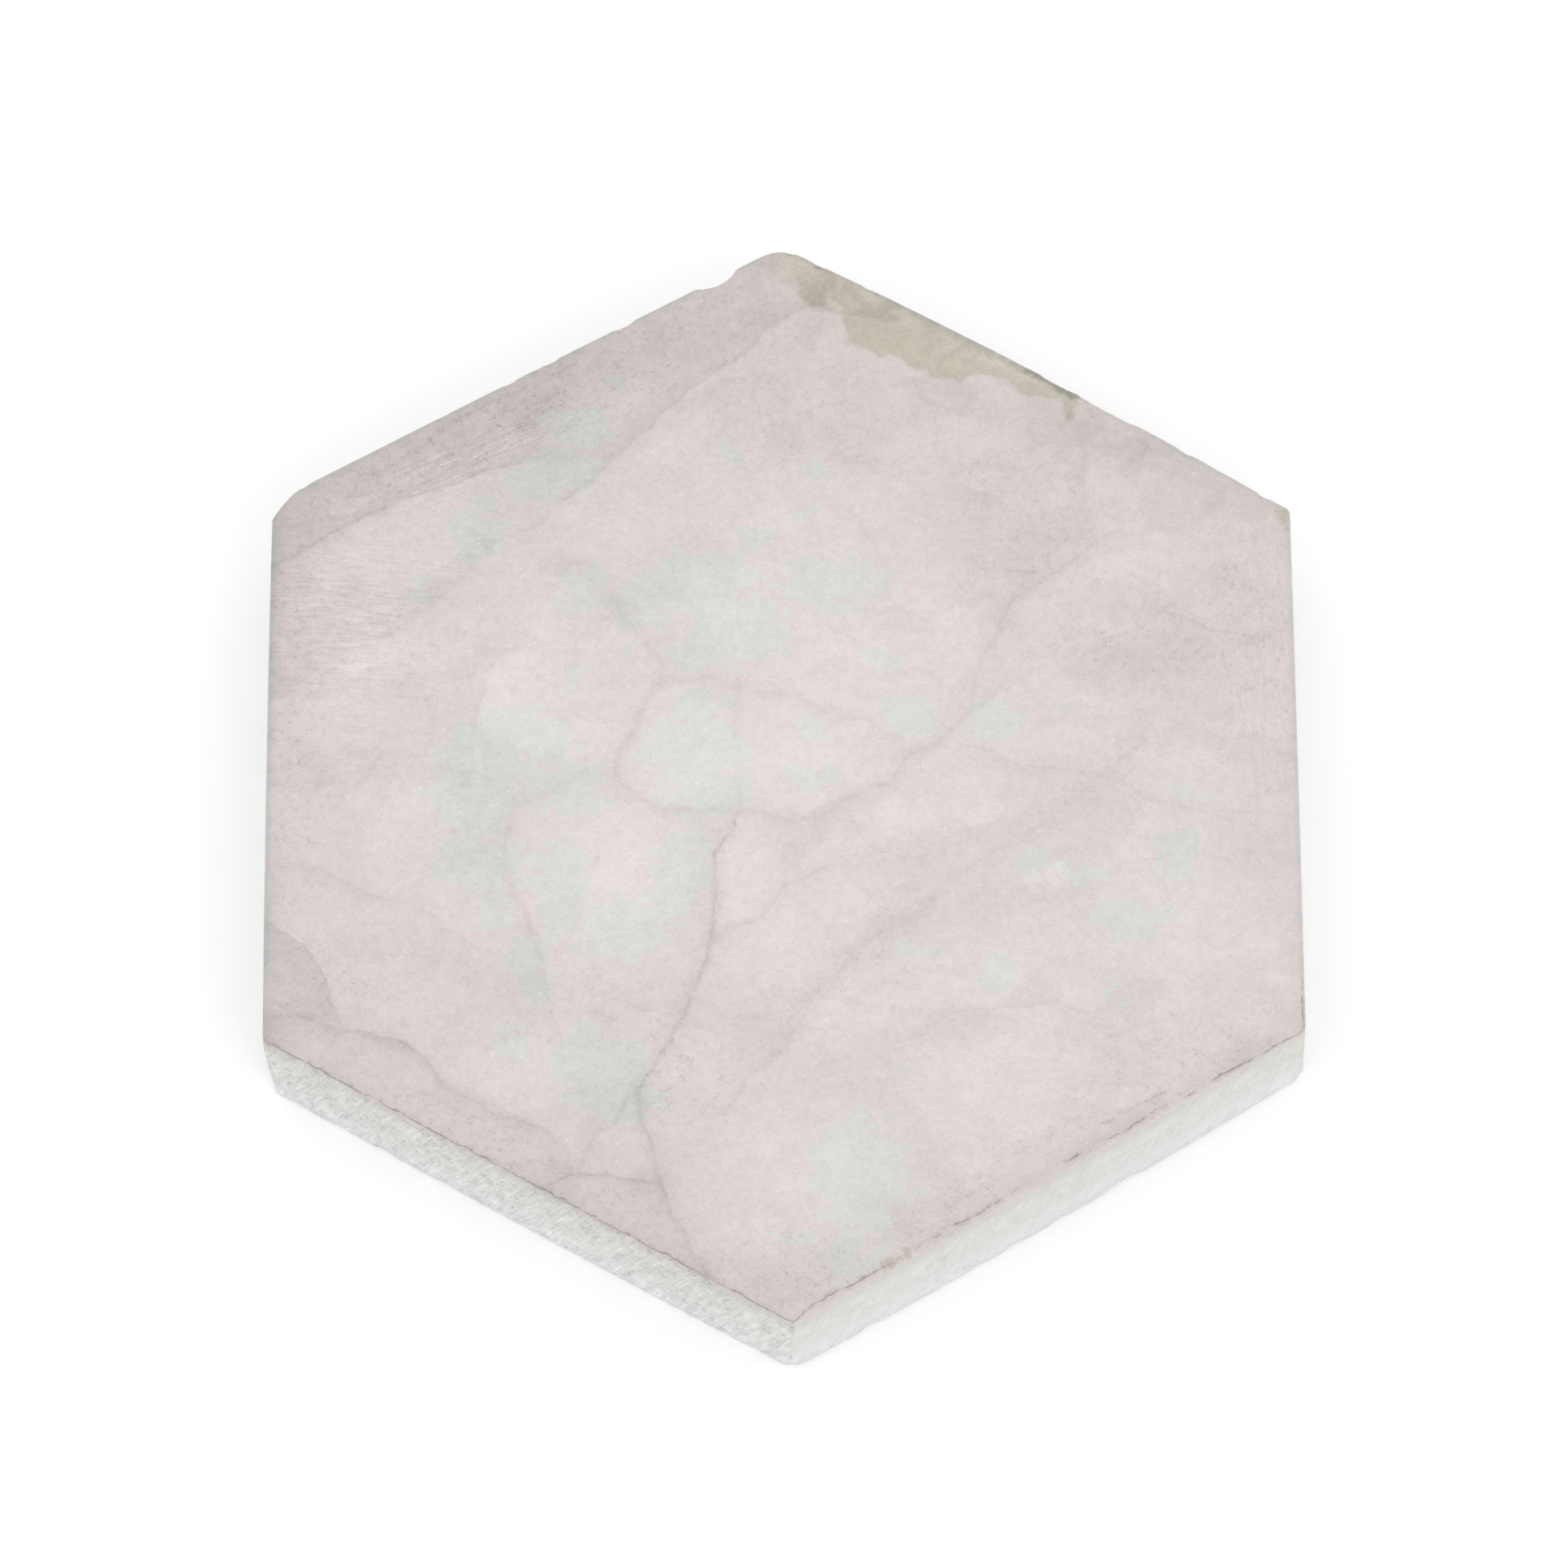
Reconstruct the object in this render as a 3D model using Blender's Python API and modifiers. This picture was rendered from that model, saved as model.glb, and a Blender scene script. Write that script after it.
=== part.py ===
"""Selenite plate: one six-sided slab sawn from a single block of satin gypsum.

Units are metres, +Z is up.  The origin is on the table, under the middle of the slab's box.
A corner of the hexagon points along -Y and another along +Y; the flats that face
-X and +X are the pair that the width is measured across.
"""

import math

import bmesh
import bpy
from mathutils import Matrix, Vector

# ---------------------------------------------------------------- driving dimensions
THICKNESS = 0.0116          # slab, underside to top
RIM_BEVEL = 0.00032         # eased top and bottom rims
ANGLE_KEPT_SHARP = 40.0     # degrees; only rims and true corners are eased
POINTS_PER_SIDE = 9         # along each sawn side, so a bowed side is followed

# Six saw cuts, counter-clockwise from the one facing +X.
# facing: compass angle of the outward normal (degrees); reach: distance of the cut from
# the centre; bow: how far the middle stands proud of the ends; foot: how much further out
# the bottom edge runs than the top edge, at the middle of the side; ends: the share of foot
# that is left at the two ends of the side.
SIDES = [
    dict(name="east",       facing=-0.23,  reach=0.05001, bow=0.00003, foot=0.00034, ends=1.00),
    dict(name="north_east", facing=59.17,  reach=0.05024, bow=0.00068, foot=0.00000),
    dict(name="north_west", facing=119.43, reach=0.05026, bow=0.00004, foot=0.00000),
    dict(name="west",       facing=179.77, reach=0.05026, bow=0.00012, foot=0.00000),
    dict(name="south_west", facing=239.64, reach=0.05006, bow=0.00006, foot=0.00012, ends=0.45),
    dict(name="south_east", facing=301.40, reach=0.04985, bow=0.00012, foot=0.00042, ends=0.45),
]

# How much of each neighbouring side a worn corner takes, (before, after), going round
# counter-clockwise.  Corner i lies between side i and side i + 1.
CORNERS = [
    (0.00045, 0.00045),     # north-east corner, crisp
    (0.00270, 0.00240),     # north corner, rubbed round
    (0.00290, 0.00195),     # north-west corner, broken away to a small flat
    (0.00050, 0.00050),     # south-west corner
    (0.00060, 0.00060),     # south corner
    (0.00060, 0.00060),     # south-east corner
]
CORNER_FULL = [1.0, 1.0, 0.25, 1.0, 1.0, 1.0]   # 1 is worn round, 0 is broken straight across
CORNER_STEPS = 6            # pieces in each rounded corner

# Chips: shallow bites out of the top rim.  from_end: distance of the bite's middle from the
# side's first corner; long, tall: how far it runs along the rim and down the side;
# bite: how deep it goes at the rim.
CHIPS = [
    dict(name="chip_north", side="north_west", from_end=0.00745, long=0.00450, tall=0.0052, bite=0.00070),
]

# Flats broken off the foot of a corner, by the corner's number.  facing: compass angle that
# the flat looks to; rise: how far up the corner it goes; reach: how far in under it.
BREAKS = [
    dict(name="break_south_west", corner=3, facing=198.0, rise=0.0086, reach=0.00072),
    dict(name="break_south", corner=4, facing=270.5, rise=0.0016, reach=0.00050),
    dict(name="break_south_east", corner=5, facing=330.6, rise=0.0017, reach=0.00055),
]
BREAK_BLOCK = 0.030         # size of the block that takes a break off

COLOUR = (0.72, 0.675, 0.655, 1.0)
ROUGHNESS = 0.46

# ---------------------------------------------------------------- empty scene, collections
for old in list(bpy.data.objects):
    bpy.data.objects.remove(old, do_unlink=True)


def new_collection(name):
    c = bpy.data.collections.new(name)
    bpy.context.scene.collection.children.link(c)
    return c


plate_collection = new_collection("Selenite plate")
cutter_collection = new_collection("Cutters")


# ---------------------------------------------------------------- outline of the slab
def normal_of(side):
    a = math.radians(side["facing"])
    return Vector((math.cos(a), math.sin(a)))


def meet(side_a, side_b):
    """Corner where two neighbouring cuts cross, at the ends of their bow."""
    na, nb = normal_of(side_a), normal_of(side_b)
    ra = side_a["reach"] - side_a["bow"] * 2 / 3
    rb = side_b["reach"] - side_b["bow"] * 2 / 3
    det = na.x * nb.y - na.y * nb.x
    return Vector(((ra * nb.y - rb * na.y) / det, (na.x * rb - nb.x * ra) / det))


corner_points = [meet(SIDES[i], SIDES[(i + 1) % 6]) for i in range(6)]


def side_point(i, s):
    """Point on side i, s from 0 at its first corner to 1 at its last."""
    a, b = corner_points[i - 1], corner_points[i]
    p = a.lerp(b, s)
    return p + normal_of(SIDES[i]) * SIDES[i]["bow"] * (1 - (2 * s - 1) ** 2)


def outline():
    """Counter-clockwise outline: each side's run, then the rounded corner after it."""
    points = []
    for i in range(6):
        length = (corner_points[i] - corner_points[i - 1]).length
        start = CORNERS[i - 1][1] / length
        end = 1 - CORNERS[i][0] / length
        for k in range(POINTS_PER_SIDE):
            points.append(side_point(i, start + (end - start) * k / (POINTS_PER_SIDE - 1)))
        nxt = (i + 1) % 6
        next_length = (corner_points[nxt] - corner_points[i]).length
        p0 = side_point(i, end)
        p2 = side_point(nxt, CORNERS[i][1] / next_length)
        tip = ((p0 + p2) / 2).lerp(corner_points[i], CORNER_FULL[i])
        for k in range(1, CORNER_STEPS):
            t = k / CORNER_STEPS
            points.append(p0 * (1 - t) ** 2 + tip * 2 * t * (1 - t) + p2 * t ** 2)
    return points


def lean(p):
    """Outward move of the foot of the slab below the outline point p."""
    move = Vector((0.0, 0.0))
    for i, side in enumerate(SIDES):
        if not side["foot"]:
            continue
        n = normal_of(side)
        along = Vector((-n.y, n.x))
        mid = (corner_points[i - 1] + corner_points[i]) / 2
        half = (corner_points[i] - corner_points[i - 1]).length / 2
        s = (p - mid).dot(along) / half
        on_side = (p - mid).dot(n) > -0.0012 and abs(s) <= 1.001
        if on_side:
            move += n * side["foot"] * (1 - (1 - side["ends"]) * s * s)
    return move


# ---------------------------------------------------------------- the slab
points = outline()
curve = bpy.data.curves.new("plate_outline", "CURVE")
curve.dimensions = "2D"
curve.fill_mode = "BOTH"
curve.extrude = THICKNESS / 2
spline = curve.splines.new("POLY")
spline.points.add(len(points) - 1)
for slot, p in zip(spline.points, points):
    slot.co = (p.x, p.y, 0.0, 1.0)
spline.use_cyclic_u = True

drawn = bpy.data.objects.new("plate_outline", curve)
drawn.location = (0, 0, THICKNESS / 2)
plate_collection.objects.link(drawn)
bpy.context.view_layer.update()
evaluated = drawn.evaluated_get(bpy.context.evaluated_depsgraph_get())
mesh = bpy.data.meshes.new_from_object(evaluated)
mesh.transform(drawn.matrix_world)
bpy.data.objects.remove(drawn, do_unlink=True)

bm = bmesh.new()
bm.from_mesh(mesh)
bmesh.ops.remove_doubles(bm, verts=bm.verts, dist=1e-6)
for v in bm.verts:
    if v.co.z < THICKNESS * 0.5:
        move = lean(Vector((v.co.x, v.co.y)))
        v.co.x += move.x
        v.co.y += move.y
bmesh.ops.dissolve_limit(bm, angle_limit=math.radians(0.02), verts=bm.verts,
                         edges=[e for e in bm.edges if e.is_manifold
                                and abs(e.link_faces[0].normal.z) > 0.999
                                and abs(e.link_faces[1].normal.z) > 0.999])
bmesh.ops.recalc_face_normals(bm, faces=bm.faces)
low = Vector((min(v.co.x for v in bm.verts), min(v.co.y for v in bm.verts)))
high = Vector((max(v.co.x for v in bm.verts), max(v.co.y for v in bm.verts)))
middle = (low + high) / 2
bmesh.ops.translate(bm, verts=bm.verts, vec=(-middle.x, -middle.y, 0))
bm.to_mesh(mesh)
bm.free()
mesh.name = "selenite_plate"

plate = bpy.data.objects.new("selenite_plate", mesh)
plate_collection.objects.link(plate)

stone = bpy.data.materials.new("selenite")
stone.use_nodes = True
shader = stone.node_tree.nodes["Principled BSDF"]
shader.inputs["Base Color"].default_value = COLOUR
shader.inputs["Roughness"].default_value = ROUGHNESS
shader.inputs["Metallic"].default_value = 0.0
stone.diffuse_color = COLOUR
plate.data.materials.append(stone)

bevel = plate.modifiers.new("eased rims", "BEVEL")
bevel.width = RIM_BEVEL
bevel.segments = 2
bevel.limit_method = "ANGLE"
bevel.angle_limit = math.radians(ANGLE_KEPT_SHARP)


# ---------------------------------------------------------------- chips and broken corners
def add_cutter(name, bm, matrix):
    m = bpy.data.meshes.new(name)
    bmesh.ops.transform(bm, matrix=matrix, verts=bm.verts)
    bmesh.ops.recalc_face_normals(bm, faces=bm.faces)
    bm.to_mesh(m)
    bm.free()
    cutter = bpy.data.objects.new(name, m)
    cutter.hide_render = True
    cutter.display_type = "WIRE"
    cutter_collection.objects.link(cutter)
    cut = plate.modifiers.new(name, "BOOLEAN")
    cut.operation = "DIFFERENCE"
    cut.solver = "EXACT"
    cut.object = cutter


for chip in CHIPS:
    i = [side["name"] for side in SIDES].index(chip["side"])
    a, b = corner_points[i - 1], corner_points[i]
    n = normal_of(SIDES[i])
    p = side_point(i, chip["from_end"] / (b - a).length)
    # an oval whose long half-size and bite at the rim are the ones asked for
    deep = chip["bite"] * 2.2
    half_long = chip["long"] / 2 / math.sqrt(1 - ((deep - chip["bite"]) / deep) ** 2)
    centre = p + n * (deep - chip["bite"]) - Vector((middle.x, middle.y))
    ball = bmesh.new()
    bmesh.ops.create_icosphere(ball, subdivisions=3, radius=1.0)
    place = (Matrix.Translation((centre.x, centre.y, THICKNESS))
             @ Matrix.Rotation(math.atan2(n.y, n.x), 4, "Z")
             @ Matrix.Diagonal((deep, half_long, chip["tall"], 1.0)))
    add_cutter(chip["name"], ball, place)

for broken in BREAKS:
    i = broken["corner"]
    out = normal_of(broken)
    half_cut = max(CORNERS[i])
    tip = corner_points[i] - Vector((middle.x, middle.y)) - out * half_cut * 0.25
    tip += lean(corner_points[i] - out * half_cut * 0.25)
    n = Vector((out.x * broken["rise"], out.y * broken["rise"], -broken["reach"])).normalized()
    turn = n.to_track_quat("Z", "Y").to_matrix().to_4x4()
    on_plane = Vector((tip.x, tip.y, broken["rise"]))
    centre = on_plane + n * BREAK_BLOCK / 2
    block = bmesh.new()
    bmesh.ops.create_cube(block, size=1.0)
    add_cutter(broken["name"], block,
               Matrix.Translation(centre) @ turn @ Matrix.Diagonal((BREAK_BLOCK,) * 3 + (1.0,)))
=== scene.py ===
"""Looks for the selenite plate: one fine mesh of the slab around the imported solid, its stone
material, a white table, soft light and the camera.

Lengths are millimetres until the mesh is made, where they become metres.
"""

import math
import random

import bpy
import numpy as np
from mathutils import Matrix, Vector
from mathutils.geometry import delaunay_2d_cdt


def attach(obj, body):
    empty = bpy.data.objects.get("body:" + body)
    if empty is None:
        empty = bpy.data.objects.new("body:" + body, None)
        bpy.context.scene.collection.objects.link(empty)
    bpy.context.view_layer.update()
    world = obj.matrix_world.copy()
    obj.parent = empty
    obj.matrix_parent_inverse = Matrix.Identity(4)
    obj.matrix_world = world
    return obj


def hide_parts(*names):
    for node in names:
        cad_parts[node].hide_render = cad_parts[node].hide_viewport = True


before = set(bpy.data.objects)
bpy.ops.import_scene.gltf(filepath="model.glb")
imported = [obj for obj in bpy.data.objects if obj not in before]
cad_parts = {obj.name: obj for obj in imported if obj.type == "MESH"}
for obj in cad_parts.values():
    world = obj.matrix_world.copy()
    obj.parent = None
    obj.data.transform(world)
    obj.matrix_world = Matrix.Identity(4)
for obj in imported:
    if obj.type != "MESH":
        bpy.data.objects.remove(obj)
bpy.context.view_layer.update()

# ================================================================ slab, as in the solid
THICKNESS = 11.6
RIM = 0.32                   # eased rims
FOOT_RIM = 0.30
SIDES = [
    dict(name="east",       facing=-0.23,  reach=50.01, bow=0.03, foot=0.34, ends=1.00),
    dict(name="north_east", facing=59.17,  reach=50.24, bow=0.68, foot=0.00),
    dict(name="north_west", facing=119.43, reach=50.26, bow=0.04, foot=0.00),
    dict(name="west",       facing=179.77, reach=50.26, bow=0.12, foot=0.00),
    dict(name="south_west", facing=239.64, reach=50.06, bow=0.06, foot=0.12, ends=0.45),
    dict(name="south_east", facing=301.40, reach=49.85, bow=0.12, foot=0.42, ends=0.45),
]
CORNERS = [(0.45, 0.45), (2.7, 2.4), (2.9, 1.95), (0.5, 0.5), (0.6, 0.6), (0.6, 0.6)]
CORNER_FULL = [1.0, 1.0, 0.25, 1.0, 1.0, 1.0]
CHIP = dict(side=2, from_end=7.45, long=4.50, tall=5.2, bite=0.70)
BREAKS = [dict(corner=3, facing=198.0, rise=8.6, reach=0.72),
          dict(corner=4, facing=270.5, rise=1.6, reach=0.50),
          dict(corner=5, facing=330.6, rise=1.7, reach=0.55)]

SIDE_STEP = 0.36             # along the sides
TOP_STEP = 0.50              # lattice of the top
VEIN_STEP = 0.32             # along a vein
UNDER_STEP = 1.7             # lattice of the underside


def heading(degrees):
    a = math.radians(degrees)
    return np.array((math.cos(a), math.sin(a)))


def normal_of(i):
    return heading(SIDES[i]["facing"])


def meet(i, j):
    na, nb = normal_of(i), normal_of(j)
    ra = SIDES[i]["reach"] - SIDES[i]["bow"] * 2 / 3
    rb = SIDES[j]["reach"] - SIDES[j]["bow"] * 2 / 3
    det = na[0] * nb[1] - na[1] * nb[0]
    return np.array(((ra * nb[1] - rb * na[1]) / det, (na[0] * rb - nb[0] * ra) / det))


corner_points = [meet(i, (i + 1) % 6) for i in range(6)]
side_length = [float(np.linalg.norm(corner_points[i] - corner_points[i - 1])) for i in range(6)]


def side_point(i, s):
    a, b = corner_points[i - 1], corner_points[i]
    return a + (b - a) * s + normal_of(i) * SIDES[i]["bow"] * (1 - (2 * s - 1) ** 2)


def corner_arc(i, t):
    nxt = (i + 1) % 6
    p0 = side_point(i, 1 - CORNERS[i][0] / side_length[i])
    p2 = side_point(nxt, CORNERS[i][1] / side_length[nxt])
    pull = (p0 + p2) / 2 * (1 - CORNER_FULL[i]) + corner_points[i] * CORNER_FULL[i]
    return p0 * (1 - t) ** 2 + pull * 2 * t * (1 - t) + p2 * t ** 2


def lean(p):
    move = np.zeros(2)
    for i, side in enumerate(SIDES):
        if not side["foot"]:
            continue
        n = normal_of(i)
        along = np.array((-n[1], n[0]))
        mid = (corner_points[i - 1] + corner_points[i]) / 2
        s = float((p - mid) @ along) / (side_length[i] / 2)
        if float((p - mid) @ n) > -1.2 and abs(s) <= 1.001:
            move = move + n * side["foot"] * (1 - (1 - side["ends"]) * s * s)
    return move


# ================================================================ finish
TOP_COLOR = (0.647, 0.580, 0.566)
GREEN_COLOR = (0.596, 0.596, 0.561)
GREEN_SHARE = 1.0
STAIN_DARK = (0.505, 0.458, 0.385)
STAIN_LIGHT = (0.562, 0.522, 0.447)
STAIN_PALE = (0.605, 0.560, 0.492)
STAIN_RED = (0.455, 0.375, 0.330)
STAIN_GREY = (0.420, 0.390, 0.345)
# darkest olive of the iron stain; along the north-east rim it is in part the painted shadow in a chip of the rim
STAIN_OLIVE_CHIP_SHADOW = (0.300, 0.288, 0.240)
# greyer, greener colour at the rims of the sides turned away from the camera, in part painted shade of their bevels
FRINGE_SHADE_COLOR = (0.566, 0.560, 0.536)
SIDE_TOP = (0.598, 0.568, 0.535)
SIDE_MIDDLE = (0.622, 0.628, 0.590)
# lighter foot of the sides: painted light standing in for light thrown up from the table
SIDE_FOOT_BOUNCE_LIT = (0.668, 0.672, 0.674)
# colour of the dark line along the rims; on the north-east rim it is painted shade of a bevel that turns away from the
# light
RIM_LINE_SHADE_COLOR = (0.250, 0.228, 0.214)
SUBSURFACE = 0.0
TOP_MOTTLE, TOP_FLAKE, TOP_GRAIN, TOP_SCRATCH, VEIN_GAIN = 1.2, 1.7, 5.3, 15.0, 1.48
SIDE_SAW, SIDE_FINE, SIDE_MOTTLE, SIDE_GRAIN, SIDE_SCRAPE = 5.0, 12.0, 6.0, 6.0, 36.0
# how strongly the dark rim line is laid on; on the north-east rim it is painted shade
RIM_LINE_SHADE_GAIN = 0.85
PLATE_GAIN = 1.15
FLAT_BROAD, FLAT_SMALL, CRACK = 4.6, 3.6, 10.0

FLOOR_COLOR = (0.985, 0.985, 0.985)
SKY = 1.02
KEY = 1.9
FILL = 0.9
TONE_BROAD, TONE_FINE = 0.8, 0.5
PLATE_SOFT = {}
TONE_BASE = -4.3
SPECKLE = 23.0
SPARKLE = 14.0
HAIRLINE = 13.0

# ================================================================ what is seen in the stone
# Veins, in mm on the top: line is how dark, wide how wide, left and right how much lighter or
# darker the stone is either side and reach how far that runs, fade how far each end fades out.
VEINS = {
    'band_edge': dict(line=4.0, wide=0.24, left=-6, right=-0.5, reach=2.0, fade=(0, 2), route=[
        (-49.7, 22.3), (-49.0, 23.0), (-47.7, 23.7), (-46.4, 24.6), (-45.0, 25.5), (-44.0, 26.4),
        (-42.6, 27.0), (-41.6, 27.6), (-40.6, 28.2), (-39.0, 28.8), (-37.6, 29.8), (-36.3, 30.2),
        (-34.7, 30.6), (-33.4, 31.1), (-31.8, 31.5), (-30.7, 32.2), (-29.4, 32.8), (-28.1, 33.3),
        (-26.7, 33.3), (-25.4, 33.8), (-23.8, 34.3), (-22.5, 35.1), (-21.3, 36.0),]),
    'band_streak': dict(line=5, wide=0.22, left=0, right=0, reach=1, fade=(3, 1), route=[
        (-44.0, 31.5), (-42.2, 32.4), (-40.1, 32.9), (-38.2, 33.6), (-36.3, 35.3), (-35.0, 36.1),
        (-33.9, 37.1), (-32.9, 38.0), (-31.1, 39.0), (-29.9, 39.9), (-28.9, 40.5), (-27.3, 41.2),
        (-24.9, 42.4), (-22.7, 43.5), (-21.1, 44.5), (-20.1, 45.7),]),
    'band_scratch': dict(line=6, wide=0.09, left=0, right=0, reach=1, fade=(1, 1), route=[
        (-36.6, 31.4), (-34.9, 32.0), (-32.9, 32.9), (-31.3, 33.7), (-29.7, 34.6), (-27.8, 35.6),]),
    'long_upper': dict(line=2.8, wide=0.3, left=-3.5, right=-5, reach=1.7, fade=(0, 2), route=[
        (3.6, 51.6), (2.1, 50.9), (0.9, 50.1), (-0.1, 49.5), (-1.0, 48.8), (-1.8, 48.1), (-2.2, 47.2),
        (-2.9, 46.4), (-4.2, 45.4), (-5.6, 44.5), (-6.6, 43.8), (-7.8, 42.8), (-8.8, 41.9), (-9.6, 40.9),
        (-11.0, 40.0), (-12.0, 38.7), (-12.7, 37.8), (-13.7, 36.9), (-14.7, 36.0), (-15.8, 35.0),
        (-16.9, 33.9), (-17.7, 32.8), (-19.0, 31.5), (-20.3, 30.5), (-21.3, 29.6), (-22.5, 28.5),]),
    'long_upper_low': dict(line=1.1, wide=0.26, left=-1.5, right=0.5, reach=1.5, fade=(1, 1), route=[
        (-22.5, 28.5), (-23.4, 27.1), (-24.9, 26.3), (-26.5, 25.8), (-27.9, 25.1), (-29.1, 24.1), (-29.9, 23.0),
        (-30.7, 21.7), (-31.5, 20.6), (-32.6, 19.8), (-33.6, 18.7), (-35.2, 17.3), (-37.0, 15.9),
        (-38.6, 15.0), (-40.5, 14.1), (-41.8, 13.3), (-43.1, 12.8), (-44.6, 11.8), (-45.8, 10.9), (-47.0, 9.6),
        (-48.4, 8.4), (-50.0, 7.7),]),
    'long_upper_twin': dict(line=3.6, wide=0.13, left=0, right=0, reach=1, fade=(2, 2), route=[
        (-8.4, 44.0), (-9.8, 42.9), (-11.2, 41.8), (-12.4, 41.2), (-13.6, 40.4), (-14.6, 39.8), (-15.5, 39.2),
        (-16.9, 38.5), (-18.1, 37.6),]),
    'wedge_left': dict(line=0, wide=0.15, left=0.5, right=-6.5, reach=2.0, fade=(0, 3), route=[
        (4.7, 53.7), (4.7, 51.7), (4.3, 49.3), (3.9, 47.4), (3.4, 45.6), (3.2, 44.3),]),
    'wedge_right': dict(line=0, wide=0.15, left=-7, right=-3.5, reach=2.0, fade=(0, 1), route=[
        (5.1, 53.7), (5.8, 52.7), (6.4, 52.0), (7.1, 50.7), (8.2, 50.1), (9.6, 49.9), (10.8, 50.2),
        (12.0, 51.1), (13.0, 51.2),]),
    'middle_upper': dict(line=4, wide=0.26, left=2.5, right=0, reach=2.0, fade=(3, 1), route=[
        (-23.4, 21.9), (-21.8, 22.6), (-20.6, 22.9), (-19.5, 23.0), (-18.5, 22.8), (-17.4, 21.7),
        (-16.9, 20.1), (-16.3, 18.7), (-15.5, 17.2), (-14.5, 15.8), (-14.0, 14.7), (-12.9, 13.6),
        (-12.1, 12.3), (-11.5, 10.7), (-10.3, 10.5), (-8.7, 10.3), (-7.2, 10.3), (-6.1, 9.8), (-4.8, 9.4),
        (-3.2, 8.9), (-1.9, 8.6), (-0.5, 8.7), (0.5, 8.6), (1.8, 8.0), (2.9, 7.3), (3.9, 6.7), (5.2, 6.0),
        (6.8, 5.9), (8.2, 5.7), (9.2, 4.8), (10.0, 4.3), (11.3, 3.7), (12.3, 3.0), (12.8, 2.3),]),
    'middle_cell': dict(line=5, wide=0.28, left=0.5, right=0, reach=1.2, fade=(0, 0), route=[
        (-11.7, 10.5), (-11.9, 9.8), (-12.7, 8.7), (-13.4, 7.5), (-13.8, 6.3), (-14.2, 4.8), (-14.8, 3.9),
        (-15.6, 2.8), (-16.1, 1.9), (-16.3, 0.8), (-15.9, -0.7), (-14.8, -1.8), (-13.8, -2.7), (-12.8, -3.3),
        (-11.2, -3.9), (-9.6, -4.0), (-7.3, -4.0), (-5.4, -4.0), (-4.1, -4.0), (-2.5, -4.1), (-1.0, -4.7),
        (0.4, -5.1), (1.7, -5.0), (3.0, -4.9), (4.3, -4.4), (5.1, -3.8), (5.7, -3.1), (6.5, -2.8), (7.5, -2.3),
        (8.8, -1.7), (10.1, -1.1), (10.9, -0.2), (11.5, 0.5), (12.3, 1.8), (13.6, 2.4), (14.7, 2.9),
        (15.7, 3.7), (16.8, 4.6),]),
    'right_upper': dict(line=3.4, wide=0.26, left=-2.5, right=-0.5, reach=2.0, fade=(0, 2), route=[
        (16.8, 4.6), (17.6, 5.7), (18.4, 6.9), (18.7, 8.8), (19.0, 10.3), (19.6, 12.1), (20.4, 13.5),
        (21.2, 14.7), (21.5, 16.1), (22.1, 17.4), (22.9, 18.8), (24.3, 19.7), (25.5, 20.6), (26.9, 21.5),
        (28.0, 22.3), (28.8, 23.0), (29.9, 24.0), (31.0, 24.9), (32.0, 25.6), (33.2, 25.9), (34.8, 25.6),
        (36.4, 26.1), (37.6, 26.3), (39.0, 26.5), (40.6, 26.9), (42.0, 27.6), (43.3, 28.4), (44.7, 28.8),]),
    'right_branch': dict(line=4.2, wide=0.35, left=-1, right=2.5, reach=1.5, fade=(0, 2), route=[
        (16.8, 4.5), (17.9, 5.8), (19.5, 7.0), (20.5, 7.9), (21.7, 9.6), (22.4, 10.6),]),
    'se_hair': dict(line=13, wide=0.13, left=0, right=0, reach=1, fade=(0.8, 0.8), route=[
        (32.7, -36.0), (34.3, -35.1), (35.9, -34.3), (37.2, -33.6),]),
    'se_hair_low': dict(line=11, wide=0.13, left=0, right=0, reach=1, fade=(0.5, 0.5), route=[
        (29.9, -37.7), (31.5, -36.8),]),
    'se_line': dict(line=3.0, wide=0.30, left=0.5, right=-0.5, reach=1.4, fade=(1, 1.5), route=[
        (30.5, -26.9), (31.7, -27.8), (33.3, -28.7), (34.4, -29.2), (35.3, -29.8),]),
    'right_line': dict(line=3.6, wide=0.27, left=1.5, right=0.5, reach=1.6, fade=(2, 0), route=[
        (16.3, 4.2), (17.8, 2.9), (19.6, 2.4), (21.0, 1.8), (22.0, 1.0), (24.1, 0.6), (25.4, 0.3), (27.3, 0.2),
        (28.8, -0.0), (30.6, -0.2), (32.0, -0.7), (33.3, -1.5), (34.3, -2.1), (35.6, -2.9), (37.2, -3.4),
        (38.4, -3.7), (39.8, -4.2), (41.1, -4.3), (43.7, -4.3), (46.3, -4.4), (48.4, -4.7), (50.0, -4.7),]),
    'long_lower': dict(line=3.2, wide=0.34, left=1.5, right=0.5, reach=1.6, fade=(3, 3), route=[
        (41.6, 4.1), (40.0, 4.3), (38.0, 3.6), (35.8, 2.8), (34.4, 2.3), (33.1, 1.4), (32.0, 0.2),
        (30.6, -1.6), (29.6, -2.0), (28.5, -2.6), (27.7, -3.5), (26.6, -4.3), (25.2, -5.6), (23.8, -6.5),
        (22.6, -7.1), (21.8, -7.7), (20.5, -8.5), (19.0, -9.6), (17.6, -10.7), (16.2, -11.7), (15.5, -12.1),
        (14.6, -13.1), (14.0, -14.4), (12.7, -15.3), (11.5, -16.0), (10.4, -16.7), (9.4, -17.0), (8.3, -17.9),
        (7.3, -18.7), (6.3, -19.8), (5.1, -21.3), (3.9, -22.7), (2.8, -23.9), (2.3, -24.5), (1.9, -25.6),
        (1.3, -26.9), (0.4, -28.2), (-0.6, -29.7), (-1.7, -31.0), (-3.2, -32.0), (-4.3, -33.6), (-5.3, -35.2),
        (-6.7, -36.6), (-7.9, -37.7), (-9.2, -38.7),]),
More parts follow.
